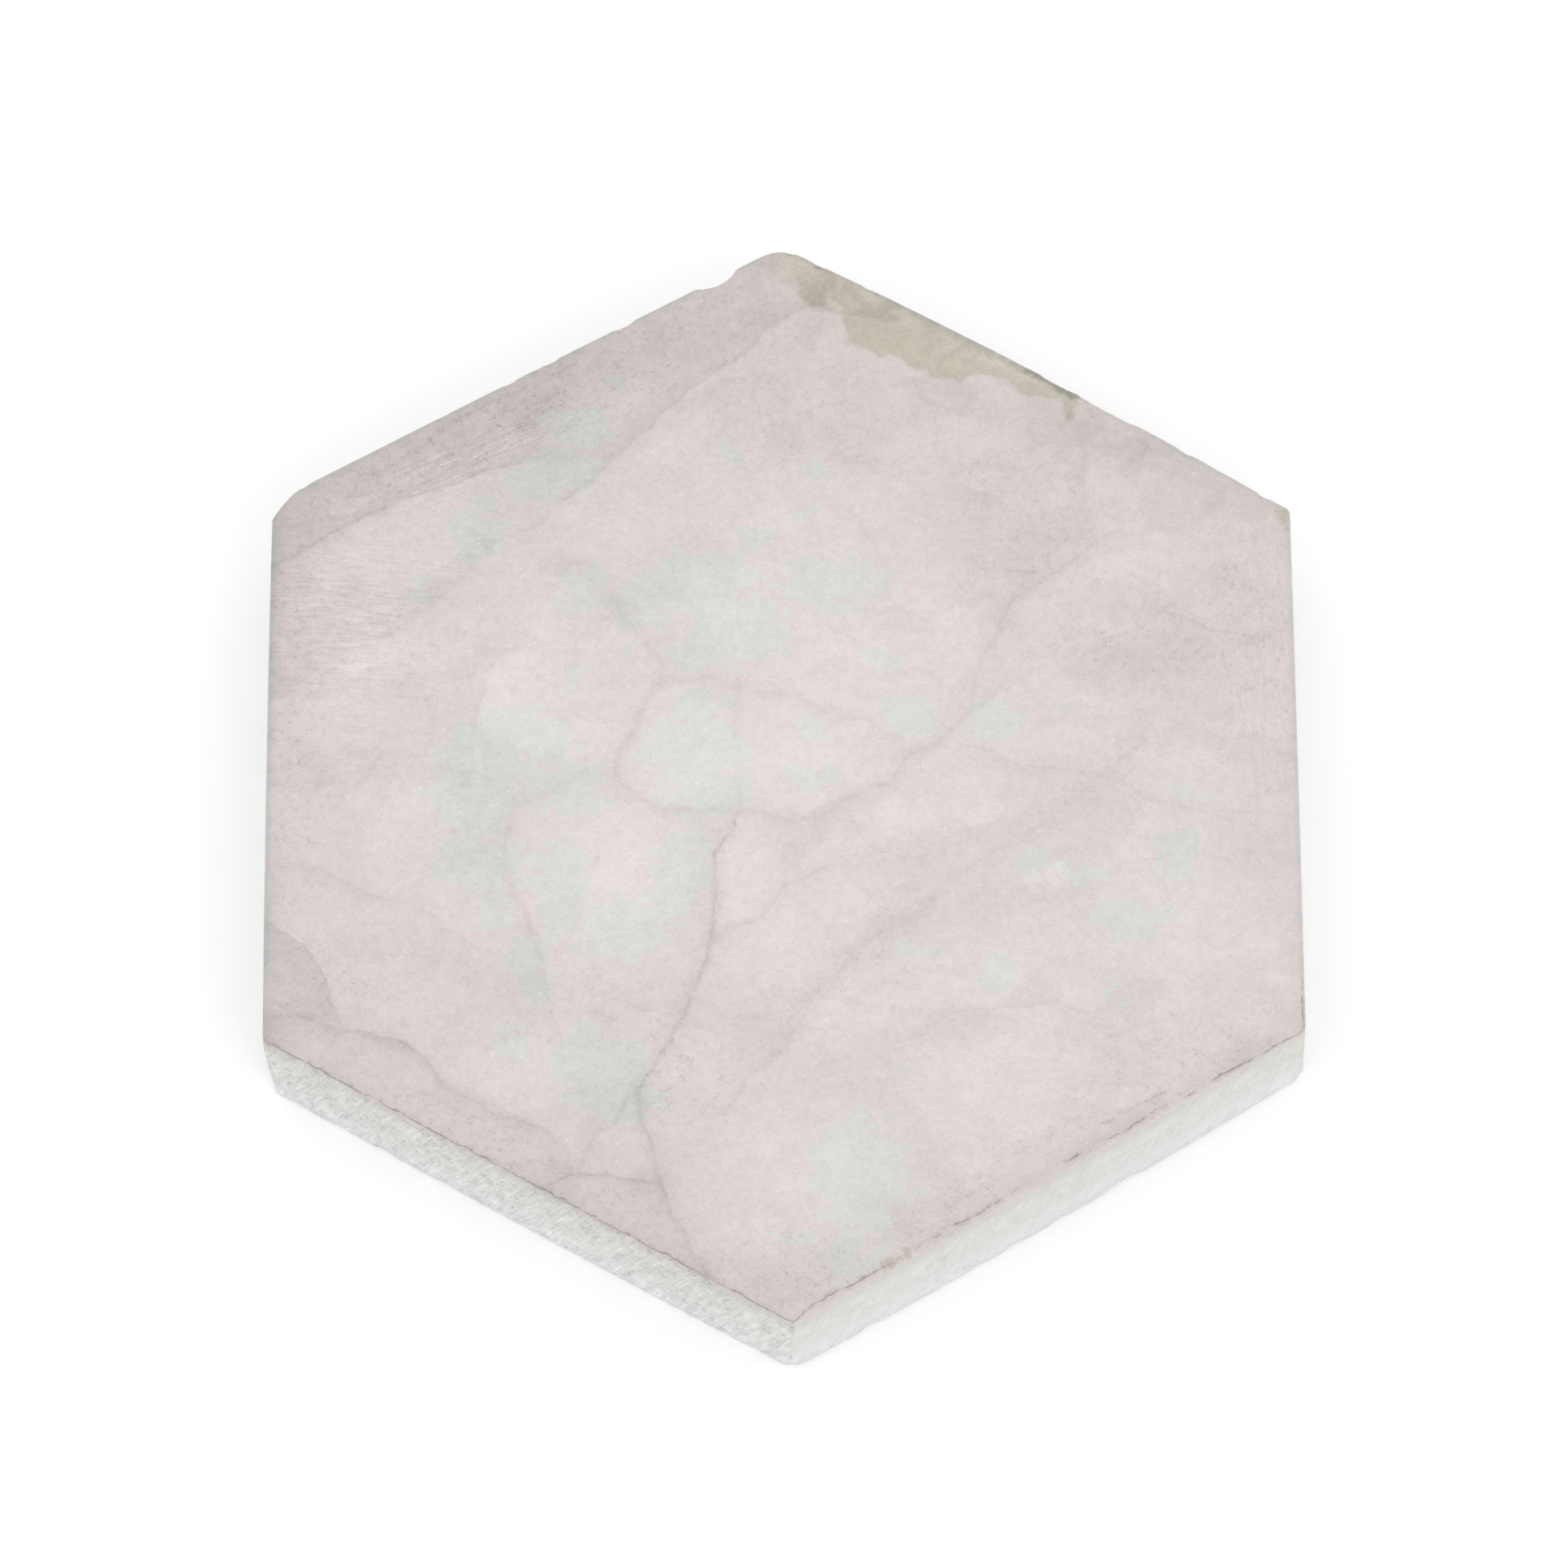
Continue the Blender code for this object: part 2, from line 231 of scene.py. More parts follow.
    'middle_thread': dict(line=1.2, wide=0.4, left=1, right=-0.5, reach=1.0, fade=(1, 0), route=[
        (-3.7, 7.5), (-4.0, 6.3), (-4.5, 5.1), (-4.7, 3.0), (-4.9, 1.3), (-4.5, -0.5), (-4.3, -2.2),
        (-4.1, -3.5),]),
    'main_down': dict(line=8.5, wide=0.24, left=-2, right=-4, reach=1.4, fade=(0, 0), route=[
        (-4.1, -4.0), (-4.6, -4.8), (-5.0, -6.2), (-5.7, -7.1), (-6.5, -8.6), (-6.7, -10.0), (-6.7, -11.4),
        (-6.6, -12.9), (-6.8, -14.6), (-6.9, -16.4), (-7.3, -18.3), (-7.6, -20.1), (-8.0, -21.3),
        (-8.5, -22.6), (-9.2, -24.3), (-9.7, -25.8), (-10.4, -26.8), (-10.9, -28.1), (-11.7, -29.4),
        (-12.2, -30.5), (-12.9, -31.6), (-13.6, -32.7), (-14.1, -33.8), (-14.0, -35.0), (-13.9, -36.0),
        (-13.7, -37.4), (-13.1, -38.7), (-12.7, -40.2), (-12.4, -41.9), (-12.0, -43.3), (-11.4, -45.0),
        (-11.0, -46.7), (-10.1, -47.8), (-9.5, -49.2), (-9.2, -50.3), (-8.3, -51.4), (-7.5, -52.6),
        (-6.9, -53.6),]),
    'main_branch': dict(line=5.2, wide=0.22, left=0, right=0, reach=1, fade=(0, 2), route=[
        (-6.8, -18.3), (-6.0, -17.2), (-5.2, -16.5), (-4.2, -16.2), (-3.3, -16.0), (-2.4, -15.6),
        (-1.4, -14.3), (-0.5, -12.9), (0.7, -11.8), (1.7, -11.5), (2.9, -10.8), (4.3, -10.1), (6.2, -9.7),]),
    'main_hook': dict(line=6, wide=0.32, left=0, right=-2, reach=1.5, fade=(0, 0), route=[
        (-14.2, -33.7), (-15.0, -34.2), (-15.6, -35.3), (-16.1, -36.6), (-16.8, -37.5), (-17.8, -37.8),
        (-18.7, -39.3), (-19.5, -41.0), (-20.1, -42.4),]),
    'middle_tick': dict(line=4.8, wide=0.14, left=0, right=0, reach=1, fade=(1, 1), route=[
        (4.3, -4.6), (5.6, -5.2), (6.9, -5.5), (7.3, -6.4), (8.0, -7.5), (8.8, -8.4), (10.0, -8.7),
        (11.0, -8.8),]),
    'left_cell': dict(line=2.8, wide=0.25, left=2, right=-1.5, reach=1.4, fade=(0, 3), route=[
        (-16.0, 2.3), (-16.7, 1.6), (-17.7, 0.8), (-19.1, 0.2), (-20.3, -0.7), (-21.4, -1.3), (-22.4, -2.2),
        (-23.8, -2.5), (-25.0, -3.3), (-26.1, -4.2), (-26.5, -5.6), (-26.8, -7.2), (-26.9, -8.2),
        (-26.6, -9.9), (-26.2, -11.3), (-25.6, -13.1), (-24.8, -14.8), (-24.4, -16.3), (-24.0, -18.0),
        (-23.4, -19.5), (-23.1, -20.8), (-23.0, -22.3), (-22.6, -24.0), (-22.3, -25.9), (-21.6, -27.6),
        (-20.9, -29.1),]),
    'pale_cell': dict(line=0, wide=0.2, left=2, right=-4.5, reach=2.2, fade=(2, 2), route=[
        (-23.4, 15.0), (-24.4, 14.1), (-24.8, 13.7), (-25.9, 13.3), (-27.2, 12.7), (-28.2, 11.7),
        (-28.6, 10.2), (-28.9, 8.8), (-29.4, 7.5), (-29.7, 6.1), (-29.8, 4.6), (-30.1, 3.1), (-29.9, 1.8),
        (-29.7, 0.3),]),
    'left_arc': dict(line=2.2, wide=0.22, left=0, right=-4, reach=1.3, fade=(0, 3), route=[
        (-49.9, -9.5), (-48.3, -9.5), (-46.8, -9.2), (-45.4, -9.9), (-44.2, -10.4), (-42.8, -11.3),
        (-41.8, -11.9), (-40.7, -12.5), (-39.7, -12.9), (-38.3, -13.5), (-36.9, -13.5), (-35.8, -13.7),
        (-34.7, -14.5), (-33.6, -15.6), (-33.0, -16.9), (-32.4, -18.2),]),
    'corner_cell': dict(line=1.5, wide=0.2, left=-1.5, right=-7, reach=4.0, fade=(0, 0), route=[
        (-50.2, -14.9), (-49.6, -15.6), (-49.0, -16.4), (-48.0, -17.0), (-47.2, -17.6), (-46.1, -18.5),
        (-45.3, -19.6), (-44.8, -20.6), (-44.2, -21.8), (-43.9, -23.0), (-43.5, -24.5), (-42.9, -25.5),
        (-42.6, -26.6),]),
    'lower_left': dict(line=5.6, wide=0.22, left=-3, right=-5, reach=2.5, fade=(0, 3), route=[
        (-49.9, -25.8), (-48.1, -25.8), (-46.0, -25.9), (-44.8, -26.5), (-43.5, -27.1), (-41.3, -27.3),
        (-39.8, -27.6), (-38.5, -28.0), (-37.2, -28.2), (-35.9, -29.1), (-34.6, -30.1), (-33.9, -31.0),
        (-33.3, -32.5), (-32.0, -33.6), (-30.4, -34.4), (-29.2, -35.2), (-27.9, -36.1), (-26.3, -36.5),
        (-25.0, -37.0), (-23.7, -37.6), (-22.4, -38.3), (-20.9, -38.8),]),
    'lower_shelf': dict(line=7.2, wide=0.18, left=-6.5, right=-5, reach=2.5, fade=(0, 0), route=[
        (-23.3, -43.9), (-21.9, -43.1), (-21.1, -42.5), (-20.1, -42.4), (-18.8, -42.4), (-17.2, -42.5),
        (-15.7, -42.9), (-13.9, -43.1), (-12.6, -43.3), (-12.0, -43.4),]),
    'lower_right': dict(line=3.8, wide=0.22, left=0.5, right=0, reach=1.5, fade=(3, 3), route=[
        (9.7, -29.1), (11.1, -28.9), (12.6, -28.0), (13.8, -27.0), (15.4, -26.1), (17.3, -25.4), (19.1, -25.5),
        (20.2, -25.2), (21.5, -24.9), (23.0, -25.1), (24.6, -24.8), (26.0, -24.5), (27.0, -25.1),
        (28.3, -25.7), (29.6, -26.2), (30.6, -26.8), (31.6, -27.7), (32.9, -28.4), (34.2, -29.0),
        (35.4, -29.9), (37.0, -30.5), (38.5, -30.9),]),
    'right_short': dict(line=4.0, wide=0.24, left=0, right=0, reach=1.5, fade=(2, 1), route=[
        (35.1, 18.4), (36.2, 17.9), (37.4, 17.1), (39.0, 16.7), (40.3, 16.4), (41.7, 15.5), (42.9, 14.9),
        (44.3, 14.9), (45.3, 14.6), (46.6, 14.6), (48.0, 14.3), (49.0, 14.0),]),
    'right_crack': dict(line=5.5, wide=0.1, left=2, right=0, reach=1.2, fade=(1, 1), route=[
        (43.1, 14.6), (43.2, 13.1), (43.6, 11.1), (44.1, 9.3), (44.6, 7.5), (45.3, 5.4), (45.6, 4.3),]),
    'upper_arc': dict(line=3.0, wide=0.24, left=2, right=1, reach=1.2, fade=(2, 3), route=[
        (6.1, 29.6), (7.3, 27.8), (8.1, 26.6), (8.9, 25.1), (9.4, 23.9), (10.0, 22.8), (10.2, 21.5),
        (10.4, 20.1), (10.9, 18.9), (11.7, 17.2),]),
    'edge_fork': dict(line=3.0, wide=0.2, left=-4, right=-2, reach=1.2, fade=(1, 0), route=[
        (32.8, 33.4), (33.8, 32.5), (34.6, 31.7), (35.1, 31.3), (35.4, 32.2), (35.6, 33.4), (35.9, 34.6),
        (36.4, 35.3),]),
    'edge_shelf': dict(line=1.5, wide=0.2, left=-3, right=1.5, reach=1.6, fade=(2, 1), route=[
        (24.2, 35.3), (25.9, 35.6), (27.2, 35.7), (28.6, 35.7), (30.0, 35.4), (31.2, 35.5), (32.8, 35.2),
        (34.0, 35.2),]),
    'edge_tick': dict(line=6, wide=0.22, left=0, right=0, reach=1, fade=(0, 1), route=[
        (29.1, 40.1), (28.7, 39.2), (28.3, 38.2), (27.7, 37.5), (27.2, 37.1),]),
    'edge_dash': dict(line=5, wide=0.17, left=-2, right=1.5, reach=1.2, fade=(1, 1), route=[
        (18.4, 36.5), (19.5, 36.7), (20.8, 37.6), (22.5, 38.0),]),
    'right_dim': dict(line=3.2, wide=0.5, left=1, right=1, reach=1.6, fade=(2, 0), route=[
        (42.0, -9.2), (43.6, -9.1), (44.9, -8.8), (46.2, -8.6), (47.5, -9.1), (48.7, -9.4), (49.8, -9.8),]),
    'upper_right_dim': dict(line=3.2, wide=0.22, left=0, right=0.5, reach=1.2, fade=(1, 1), route=[
        (19.0, 21.8), (20.6, 22.1), (22.1, 21.8), (23.9, 21.6), (25.7, 21.8), (27.7, 22.0),]),
    'upper_right_dim2': dict(line=4.2, wide=0.24, left=0, right=0, reach=1.2, fade=(1, 1), route=[
        (23.3, 25.8), (25.4, 25.9), (27.0, 25.2), (28.6, 25.0), (29.9, 24.6),]),
    'left_dim': dict(line=3.5, wide=0.34, left=-2.5, right=0, reach=2.0, fade=(2, 2), route=[
        (-45.4, -2.9), (-43.7, -2.6), (-42.4, -2.0), (-41.1, -1.2), (-40.0, 0.0), (-39.0, 2.0), (-36.9, 3.1),]),
    'right_dash': dict(line=4.6, wide=0.15, left=2, right=0, reach=1, fade=(1, 1), route=[
        (34.1, -9.6), (35.5, -9.5), (37.5, -9.0),]),
    'stain_edge': dict(line=1.5, wide=0.2, left=0, right=0, reach=2.0, fade=(1, 0), route=[
        (15.3, 43.9), (16.9, 43.6), (18.5, 43.7), (19.9, 44.0), (21.5, 43.6), (22.5, 42.8), (24.4, 42.6),
        (26.0, 41.6), (27.6, 41.0), (29.5, 40.9),]),
    'rim_flake_line': dict(line=6.0, wide=0.1, left=0, right=0, reach=1, fade=(1, 1), route=[
        (31.3, -36.9), (32.1, -36.2), (33.5, -35.2), (35.1, -34.4), (36.6, -33.8), (37.4, -33.5),]),
    'east_vertical': dict(line=2.0, wide=0.25, left=0.5, right=-2.5, reach=1.2, fade=(1, 1), route=[
        (30.6, 38.0), (30.2, 35.0), (30.0, 32.0), (30.2, 29.0), (30.4, 26.5), (31.0, 25.0),]),
}

# Nodular cells and patches of the stone: how much lighter or darker, and the border in mm.
PLATES = {
    'nw_face': (5, [(-44.5, 25.2), (-42.5, 26.4), (-40, 28.1), (-37, 29.9), (-34.5, 30.8), (-32, 32),
        (-30, 32.4), (-29.6, 28), (-30.5, 25.5), (-32.5, 23.5), (-34.8, 21.5), (-35.2, 19.9), (-40, 19.5),
        (-44, 19.8), (-46, 21.2), (-46.8, 23)]),
    'nw_face_right': (3.5, [(-29.6, 32.4), (-27, 33.6), (-24, 34), (-20, 33.9), (-17.5, 34.5), (-19.5, 32),
        (-21, 30), (-23.5, 28.5), (-24, 26.8), (-27, 26), (-29.6, 25.5)]),
    'nw_patch': (2, [(-21.8, 39.5), (-20, 43), (-17.5, 44.5), (-15, 44.2), (-12.5, 43), (-12, 41), (-15, 38),
        (-17.5, 36), (-20, 35), (-22.5, 36)]),
    'top_cell_low': (-3.5, [(-14, 48.5), (-12, 49.8), (-8.5, 50), (-6.8, 52), (-5, 53.5), (-2, 55), (-0.2, 52),
        (-0.5, 49.5), (-3, 47.5), (-5.5, 46.2), (-8.5, 45), (-11, 44.2), (-13.2, 45.5)]),
    'dark_wedge': (1, [(-28.5, 25.2), (-30, 23), (-31, 21.5), (-31.8, 19.8), (-34.8, 19.4), (-35.2, 20.5),
        (-33.2, 23.5), (-30.8, 25.2)]),
    'ledge_a': (1.5, [(-29.5, 23), (-27.5, 24), (-24.8, 23.9), (-24, 23), (-23.9, 21.9), (-26, 20.6),
        (-28.5, 19.9), (-31, 20), (-30.4, 21.5)]),
    'ledge_b': (1, [(-22.5, 28), (-21, 29.2), (-17.5, 28.2), (-15, 27.5), (-14.6, 25.5), (-15.9, 23.5),
        (-17.5, 23.5), (-20, 24.8), (-22.5, 24.9), (-23.9, 26)]),
    'mid_a': (1.5, [(-14.8, 34.6), (-12, 37), (-9.2, 39.2), (-7.5, 39.4), (-6.8, 38), (-8, 35.5), (-9.8, 34.1),
        (-9.4, 32), (-12, 29.9), (-14.8, 30.2), (-17, 30.9), (-17.4, 32.4)]),
    'mid_b': (-3.5, [(-8.5, 41.2), (-6, 43.2), (-3.2, 45.4), (-1.2, 47.5), (0.2, 49), (2, 50.5), (2, 41.5),
        (0.5, 39.5), (-2.5, 38), (-5, 38.5), (-7, 40)]),
    'mid_b_low': (-2.5, [(-6.8, 37.9), (-4, 38), (2, 38.8), (2, 35.2), (-1, 33), (-3, 32), (-5.5, 34),
        (-7.5, 35.2)]),
    'mid_c': (1, [(-9, 34), (-7, 34.5), (-5, 33), (-4.5, 30), (-5.5, 27.5), (-8, 26.9), (-10, 27.5), (-12, 27),
        (-13.5, 28), (-12, 29.5), (-9, 31.5)]),
    'mid_dark': (-1, [(-12.5, 26.8), (-9.5, 26.4), (-7, 26.8), (-5.8, 25.5), (-5.5, 23.5), (-7, 23),
        (-9.5, 24), (-11, 25)]),
    'arc_dark': (-2, [(-22, 22.9), (-19.5, 23.4), (-17, 23), (-14.9, 21.1), (-13.5, 20.2), (-9.5, 19.9),
        (-9.5, 18.1), (-12.5, 18.5), (-14.9, 18.5), (-15.2, 16.2), (-17, 16.8), (-17.6, 19.2), (-20, 20.1),
        (-22, 20.9)]),
    'green_flat': (0.5, [(-14.8, 18.2), (-12.5, 18.5), (-10.1, 18.5), (-9.4, 16.5), (-12, 14.9), (-14, 15),
        (-15.1, 16.2)]),
    'heart_a': (0.5, [(-9.5, 16.5), (-8.9, 19), (-6, 20.5), (-2, 20.8), (2, 21.5), (2, 14), (0, 12.4),
        (-2.8, 13.8), (-5.5, 14.8), (-8, 15.8)]),
    'heart_b': (1, [(-5.8, 25.9), (-4, 27.5), (0, 29.1), (2, 30), (2, 23), (-2, 21.9), (-4, 22.9),
        (-5.5, 23.9)]),
    'mid_d': (0.5, [(-24, 19.6), (-21, 20.1), (-17.9, 19.8), (-16.8, 18), (-17.4, 15.5), (-21, 15.4),
        (-24, 15.5), (-25.5, 17.5)]),
    'spark': (0.5, [(-24.8, 15.5), (-23.5, 16.2), (-22, 16), (-22.8, 15.1), (-24.2, 14.8)]),
    'pale_left': (2, [(-29.4, 7.5), (-28.8, 10), (-27.9, 12), (-26, 12.9), (-24, 14), (-22, 14.9), (-20, 14.4),
        (-20, 11.5), (-21.4, 10), (-20.4, 8), (-20, 5.5), (-21.8, 2.6), (-24.8, 2.4), (-27, 3.8), (-29.6, 5.1)]),
    'pale_right': (4.5, [(-19.9, 14.4), (-17, 15.4), (-14, 15.5), (-12.8, 13.2), (-12, 11), (-13, 8.8),
        (-14.2, 6), (-15.2, 3.5), (-17, 0.8), (-20, 0.4), (-21.8, 2.4), (-19.9, 5.5), (-20.3, 8), (-21.2, 10),
        (-19.9, 11.5)]),
    'west_ridge': (2.5, [(-42.8, 11), (-42, 12.8), (-39.5, 14.4), (-37, 15.4), (-34.5, 16.4), (-30.5, 18),
        (-30, 14.5), (-30.5, 12), (-35.5, 10.8), (-40, 10.8), (-42, 10.5)]),
    'ridge_streak': (1.5, [(-42.9, 11.2), (-41.2, 13.1), (-39, 14.5), (-37, 15.2), (-37, 13.8), (-38.8, 12.2),
        (-41.2, 10.8)]),
    'west_low': (2.5, [(-47, 5.5), (-46, 7.5), (-43, 8.5), (-39, 8.6), (-35.5, 8), (-34, 6), (-35, 3),
        (-39, 2), (-43, 2.4), (-45.5, 3.8)]),
    'west_band': (0.5, [(-34.8, 10), (-30.5, 10.5), (-29.6, 8), (-30, 5), (-30, 0), (-33.5, 0), (-33.8, 3),
        (-33.4, 6), (-35, 8.5)]),
    'west_col': (4, [(-49, 20), (-44, 19.5), (-35.5, 19), (-37, 16), (-40, 14.4), (-42.5, 12.8), (-45, 11),
        (-48, 10.5), (-49.2, 13)]),
    'wedge': (-2.5, [(5, 53), (5.8, 52), (6.5, 50), (7.5, 48), (8.2, 46), (11.1, 43.5), (14.5, 42.5),
        (15.6, 40.5), (15, 38.8), (11.1, 37), (10, 34.5), (7, 33), (5, 34), (5.5, 39), (4.6, 43), (3.4, 45.2),
        (4.2, 49)]),
    'ne_a': (0, [(10.5, 36), (12.5, 37.6), (15.2, 38.4), (18.2, 38.1), (19.1, 36), (18.1, 33), (15, 31.5),
        (12.5, 31.5), (10.8, 33)]),
    'ne_b': (1, [(19.6, 36), (23, 37.5), (25.5, 37), (28, 35.6), (26.5, 34), (24, 33), (21.8, 31.5),
        (20.1, 33)]),
    'ne_c': (1, [(20.5, 29.8), (23, 32), (25.6, 33.9), (28.6, 34), (29.1, 32), (26.2, 30), (25.2, 28),
        (23, 27.4), (20.9, 28)]),
    'ne_slab': (0.5, [(30.5, 33), (32.5, 33.1), (34, 32.1), (35.1, 30), (34.8, 28), (33, 26), (31.9, 25.5),
        (30.9, 27.5), (30.5, 30)]),
    'ne_edge_low': (-4, [(35.8, 30.8), (38, 32.8), (41, 32.2), (44.5, 30.8), (44, 29), (41, 28), (38, 27.5),
        (35.6, 28)]),
    'ne_edge_dark': (-4.5, [(28.5, 38), (31, 39.5), (33, 37.5), (36, 36), (39.5, 34), (36.5, 34.5), (35, 33),
        (33, 34.5), (30, 35.8)]),
    'ne_bright': (1.5, [(31.1, 23.5), (32.1, 25.4), (35, 25.6), (38, 25.5), (39.6, 24), (40, 21), (38, 19.9),
        (35, 20.9), (32.5, 20.9), (31.2, 21.9)]),
    'ne_right': (0, [(39.6, 26), (43, 28), (45.5, 29.5), (47.6, 28), (47.5, 25), (46, 22), (44, 20),
        (41.1, 20.4), (40.1, 23)]),
    'ne_right_low': (2.5, [(40.1, 19.8), (43, 20), (45, 19.5), (44.8, 16.9), (42.8, 15.5), (40.5, 16.2),
        (39.6, 18)]),
    'ne_tex': (0.5, [(22.9, 16.5), (24, 18.5), (26, 19.8), (29, 20.9), (31.1, 21), (35, 19.4), (35.5, 16),
        (33, 14.9), (30, 14.9), (28, 13.9), (25, 14.4)]),
    'ne_tex_low': (2, [(21.1, 12.8), (21.6, 14.9), (23.1, 14.4), (26, 13.9), (27.6, 12.9), (27.5, 10.1),
        (26, 8.9), (23.5, 9.9), (21.5, 10.5)]),
    'ne_dark_mid': (-0.5, [(19, 24), (24, 25.2), (29, 25.2), (29.5, 23.5), (28, 21), (25, 20.1), (22, 20.8),
        (19, 21.2)]),
    'ne_dark_edge': (-0.5, [(19, 21.2), (22, 20.8), (24, 20), (22.5, 18), (21.5, 16), (20, 18), (18, 19.5)]),
    'ne_dark_right': (-0.5, [(30.5, 14), (33, 14.6), (36, 15.5), (36.5, 18), (39.5, 16.5), (42.5, 14.9),
        (45, 14.5), (43, 12), (40, 10.5), (36, 9.2), (30.5, 9.5), (28, 11.5)]),
    'ne_strip': (0, [(43, 12), (45, 13.8), (48, 14), (50, 13.8), (50, 10), (48, 8.8), (46, 6), (43.1, 6.5),
        (42.1, 9)]),
    'ne_big': (1.5, [(17.2, 4.5), (19, 6.5), (21, 8.5), (24, 9.9), (27, 9.5), (30.5, 8), (33, 7.4), (34.1, 5),
        (33, 2), (30, 0.9), (26, 1.4), (21, 1.5), (19, 2.8)]),
    'ne_big_right': (2, [(35, 4), (38, 4.2), (41, 3), (43, 1.5), (45.5, 0), (45.5, -2.5), (43, -3.7),
        (39.5, -3.4), (36, -2.2), (34.5, -0.5), (34.5, 2)]),
    'ne_heart': (1, [(14.4, 15), (15.5, 18), (18, 19), (20, 18), (21.5, 15.5), (20.5, 13.4), (19, 11),
        (17, 11.5), (15.5, 12), (14.8, 13.5)]),
    'ne_lens': (2, [(8.5, 6), (10.5, 8.4), (12.5, 10.5), (15, 10), (16.6, 8.5), (17.5, 6), (15.6, 4), (13, 3),
        (10.5, 3.9), (9, 4.5)]),
    'ne_sq_a': (0.5, [(1, 11.5), (2, 13.9), (4, 15), (5.5, 14), (6.1, 12), (5, 10), (3, 8), (1, 9)]),
    'ne_sq_b': (1, [(5.9, 14.8), (9, 15.4), (13, 15.4), (14.1, 13.5), (13.1, 11), (11.1, 9.4), (8, 9.4),
        (6.6, 12)]),
    'ne_sq_c': (0, [(4.5, 8), (7.5, 8.8), (9.8, 8.8), (8, 6.5), (5.5, 6)]),
    'ne_cell': (2, [(0.1, 28.5), (2.5, 29.9), (5, 28.5), (7, 26.9), (9.1, 24.4), (9.8, 21.9), (9.5, 18.9),
        (7, 18.4), (5, 19.9), (5, 21.9), (3, 22.9), (1, 23.9), (0.1, 26)]),
    'ne_knob': (1.5, [(0.9, 33), (2.5, 34.2), (4.6, 34), (5.6, 32), (4.5, 30), (2, 29.9), (0.8, 31)]),
    'ne_band': (2, [(5.6, 30), (8, 31), (10.6, 29.9), (13, 28), (14.6, 25.5), (14.1, 23), (11.1, 21.9),
        (10.3, 24), (9.1, 26), (7.5, 28.4)]),
    'ne_under': (3.5, [(10.5, 19.9), (13, 20.4), (15.1, 19), (14.1, 17.4), (11.5, 17.9)]),
    'ne_shade': (-0.5, [(0, 40.5), (4.5, 40), (5.5, 38), (5, 35.2), (2.5, 34.8), (0.2, 34)]),
    'ne_gap': (0, [(10.5, 30), (14.5, 30.8), (19, 30), (20, 27), (19, 25), (15, 25), (13, 28)]),
    'sw_head': (0, [(-44.5, -3.8), (-42, -1.5), (-37, 0), (-32.5, 0), (-30.4, -3), (-30, -6), (-31.9, -8),
        (-34.4, -10), (-35.2, -13.1), (-38.5, -13.6), (-40.9, -11.6), (-43.5, -10.1), (-45.9, -9.1),
        (-47, -6.5), (-46.4, -4.5)]),
    'sw_head_core': (2, [(-39.5, -3), (-36, -1.5), (-33, -1), (-31.4, -4), (-32, -7), (-34.5, -9.5),
        (-36, -12.5), (-38.5, -12.5), (-39.8, -9.5), (-40, -5.5)]),
    'sw_mid': (1, [(-49, -13.2), (-47, -11.6), (-44, -11), (-41.9, -12.5), (-40, -14.5), (-39.9, -17.5),
        (-41.5, -20.1), (-44, -20.1), (-45.5, -18.1), (-47, -16.1), (-49, -15.1)]),
    'sw_pebble': (2, [(-34, -11.6), (-32, -10.3), (-29.4, -10.6), (-26.9, -11.6), (-26, -14.5), (-24.9, -17.5),
        (-27, -19.1), (-29.5, -18.1), (-31.9, -16.6), (-33.5, -14.1)]),
    'sw_big': (2.5, [(-26, -9.5), (-25, -4.8), (-23, -3.1), (-20, -1.1), (-17, -2.1), (-15, -3.1), (-13, -4.6),
        (-10, -5.1), (-8, -5.6), (-7.9, -10), (-8.9, -15), (-10.4, -18.6), (-13, -20.1), (-17, -20.1),
        (-20, -18.6), (-22.5, -18.6), (-24, -16.1), (-25.5, -13.1)]),
    'sw_small': (1, [(-6.2, -12), (-5.5, -9.6), (-4, -8.1), (-2, -8.6), (-0.9, -10.6), (0, -12.2), (-1, -14.1),
        (-3, -15.6), (-5.5, -16.1), (-6.2, -14.2)]),
    'sw_east': (1.5, [(-5.5, -20.1), (-4, -17.1), (-1, -15.1), (1.9, -13.1), (1.9, -23), (0, -24.5),
        (-2.5, -26.1), (-5, -26.1), (-6.9, -25.1), (-7.4, -23)]),
    'sw_lump': (2, [(-33.5, -31.2), (-30, -29.6), (-27, -28.6), (-24, -28.5), (-21.4, -30), (-20, -32.1),
        (-20.9, -34.6), (-24, -36.1), (-27, -35.6), (-30, -34.6), (-31.9, -33.1)]),
    'sw_lump_b': (1.5, [(-19.5, -30.6), (-17, -30.1), (-14.9, -31.1), (-14.9, -33.6), (-17, -35.1),
        (-19.5, -34.6)]),
    'sw_low_right': (1, [(-12.9, -34.1), (-10.9, -31.1), (-8.9, -28.6), (-5.9, -27.1), (-5, -30),
        (-5.4, -32.6), (-7.9, -35.1), (-10.4, -38.1), (-12.5, -39.1), (-13.5, -37.1)]),
    'sw_strip': (2, [(-45.5, -28.6), (-43, -27.6), (-39.9, -28.6), (-37, -29.5), (-34.4, -30.6),
        (-33.4, -33.1), (-34.5, -35.1), (-37, -34.1), (-40, -32.6), (-43, -31.1)]),
    'sw_wide': (1, [(-43.5, -21.1), (-39.9, -20.1), (-35.5, -20.6), (-31, -21.1), (-30.4, -23.5),
        (-32.9, -25.6), (-37, -26.6), (-40.4, -26.1), (-42.5, -24.5)]),
    'sw_tail': (1, [(-22.9, -20.6), (-20, -20.1), (-17, -21), (-14.9, -22), (-17, -24.1), (-20, -24.1),
        (-22.5, -23)]),
    'sw_tail_dark': (-0.5, [(-14.5, -20.5), (-10.5, -19.5), (-8, -20), (-8.5, -22.5), (-10, -26), (-12, -30),
        (-14, -28), (-16, -25), (-14.8, -22.5)]),
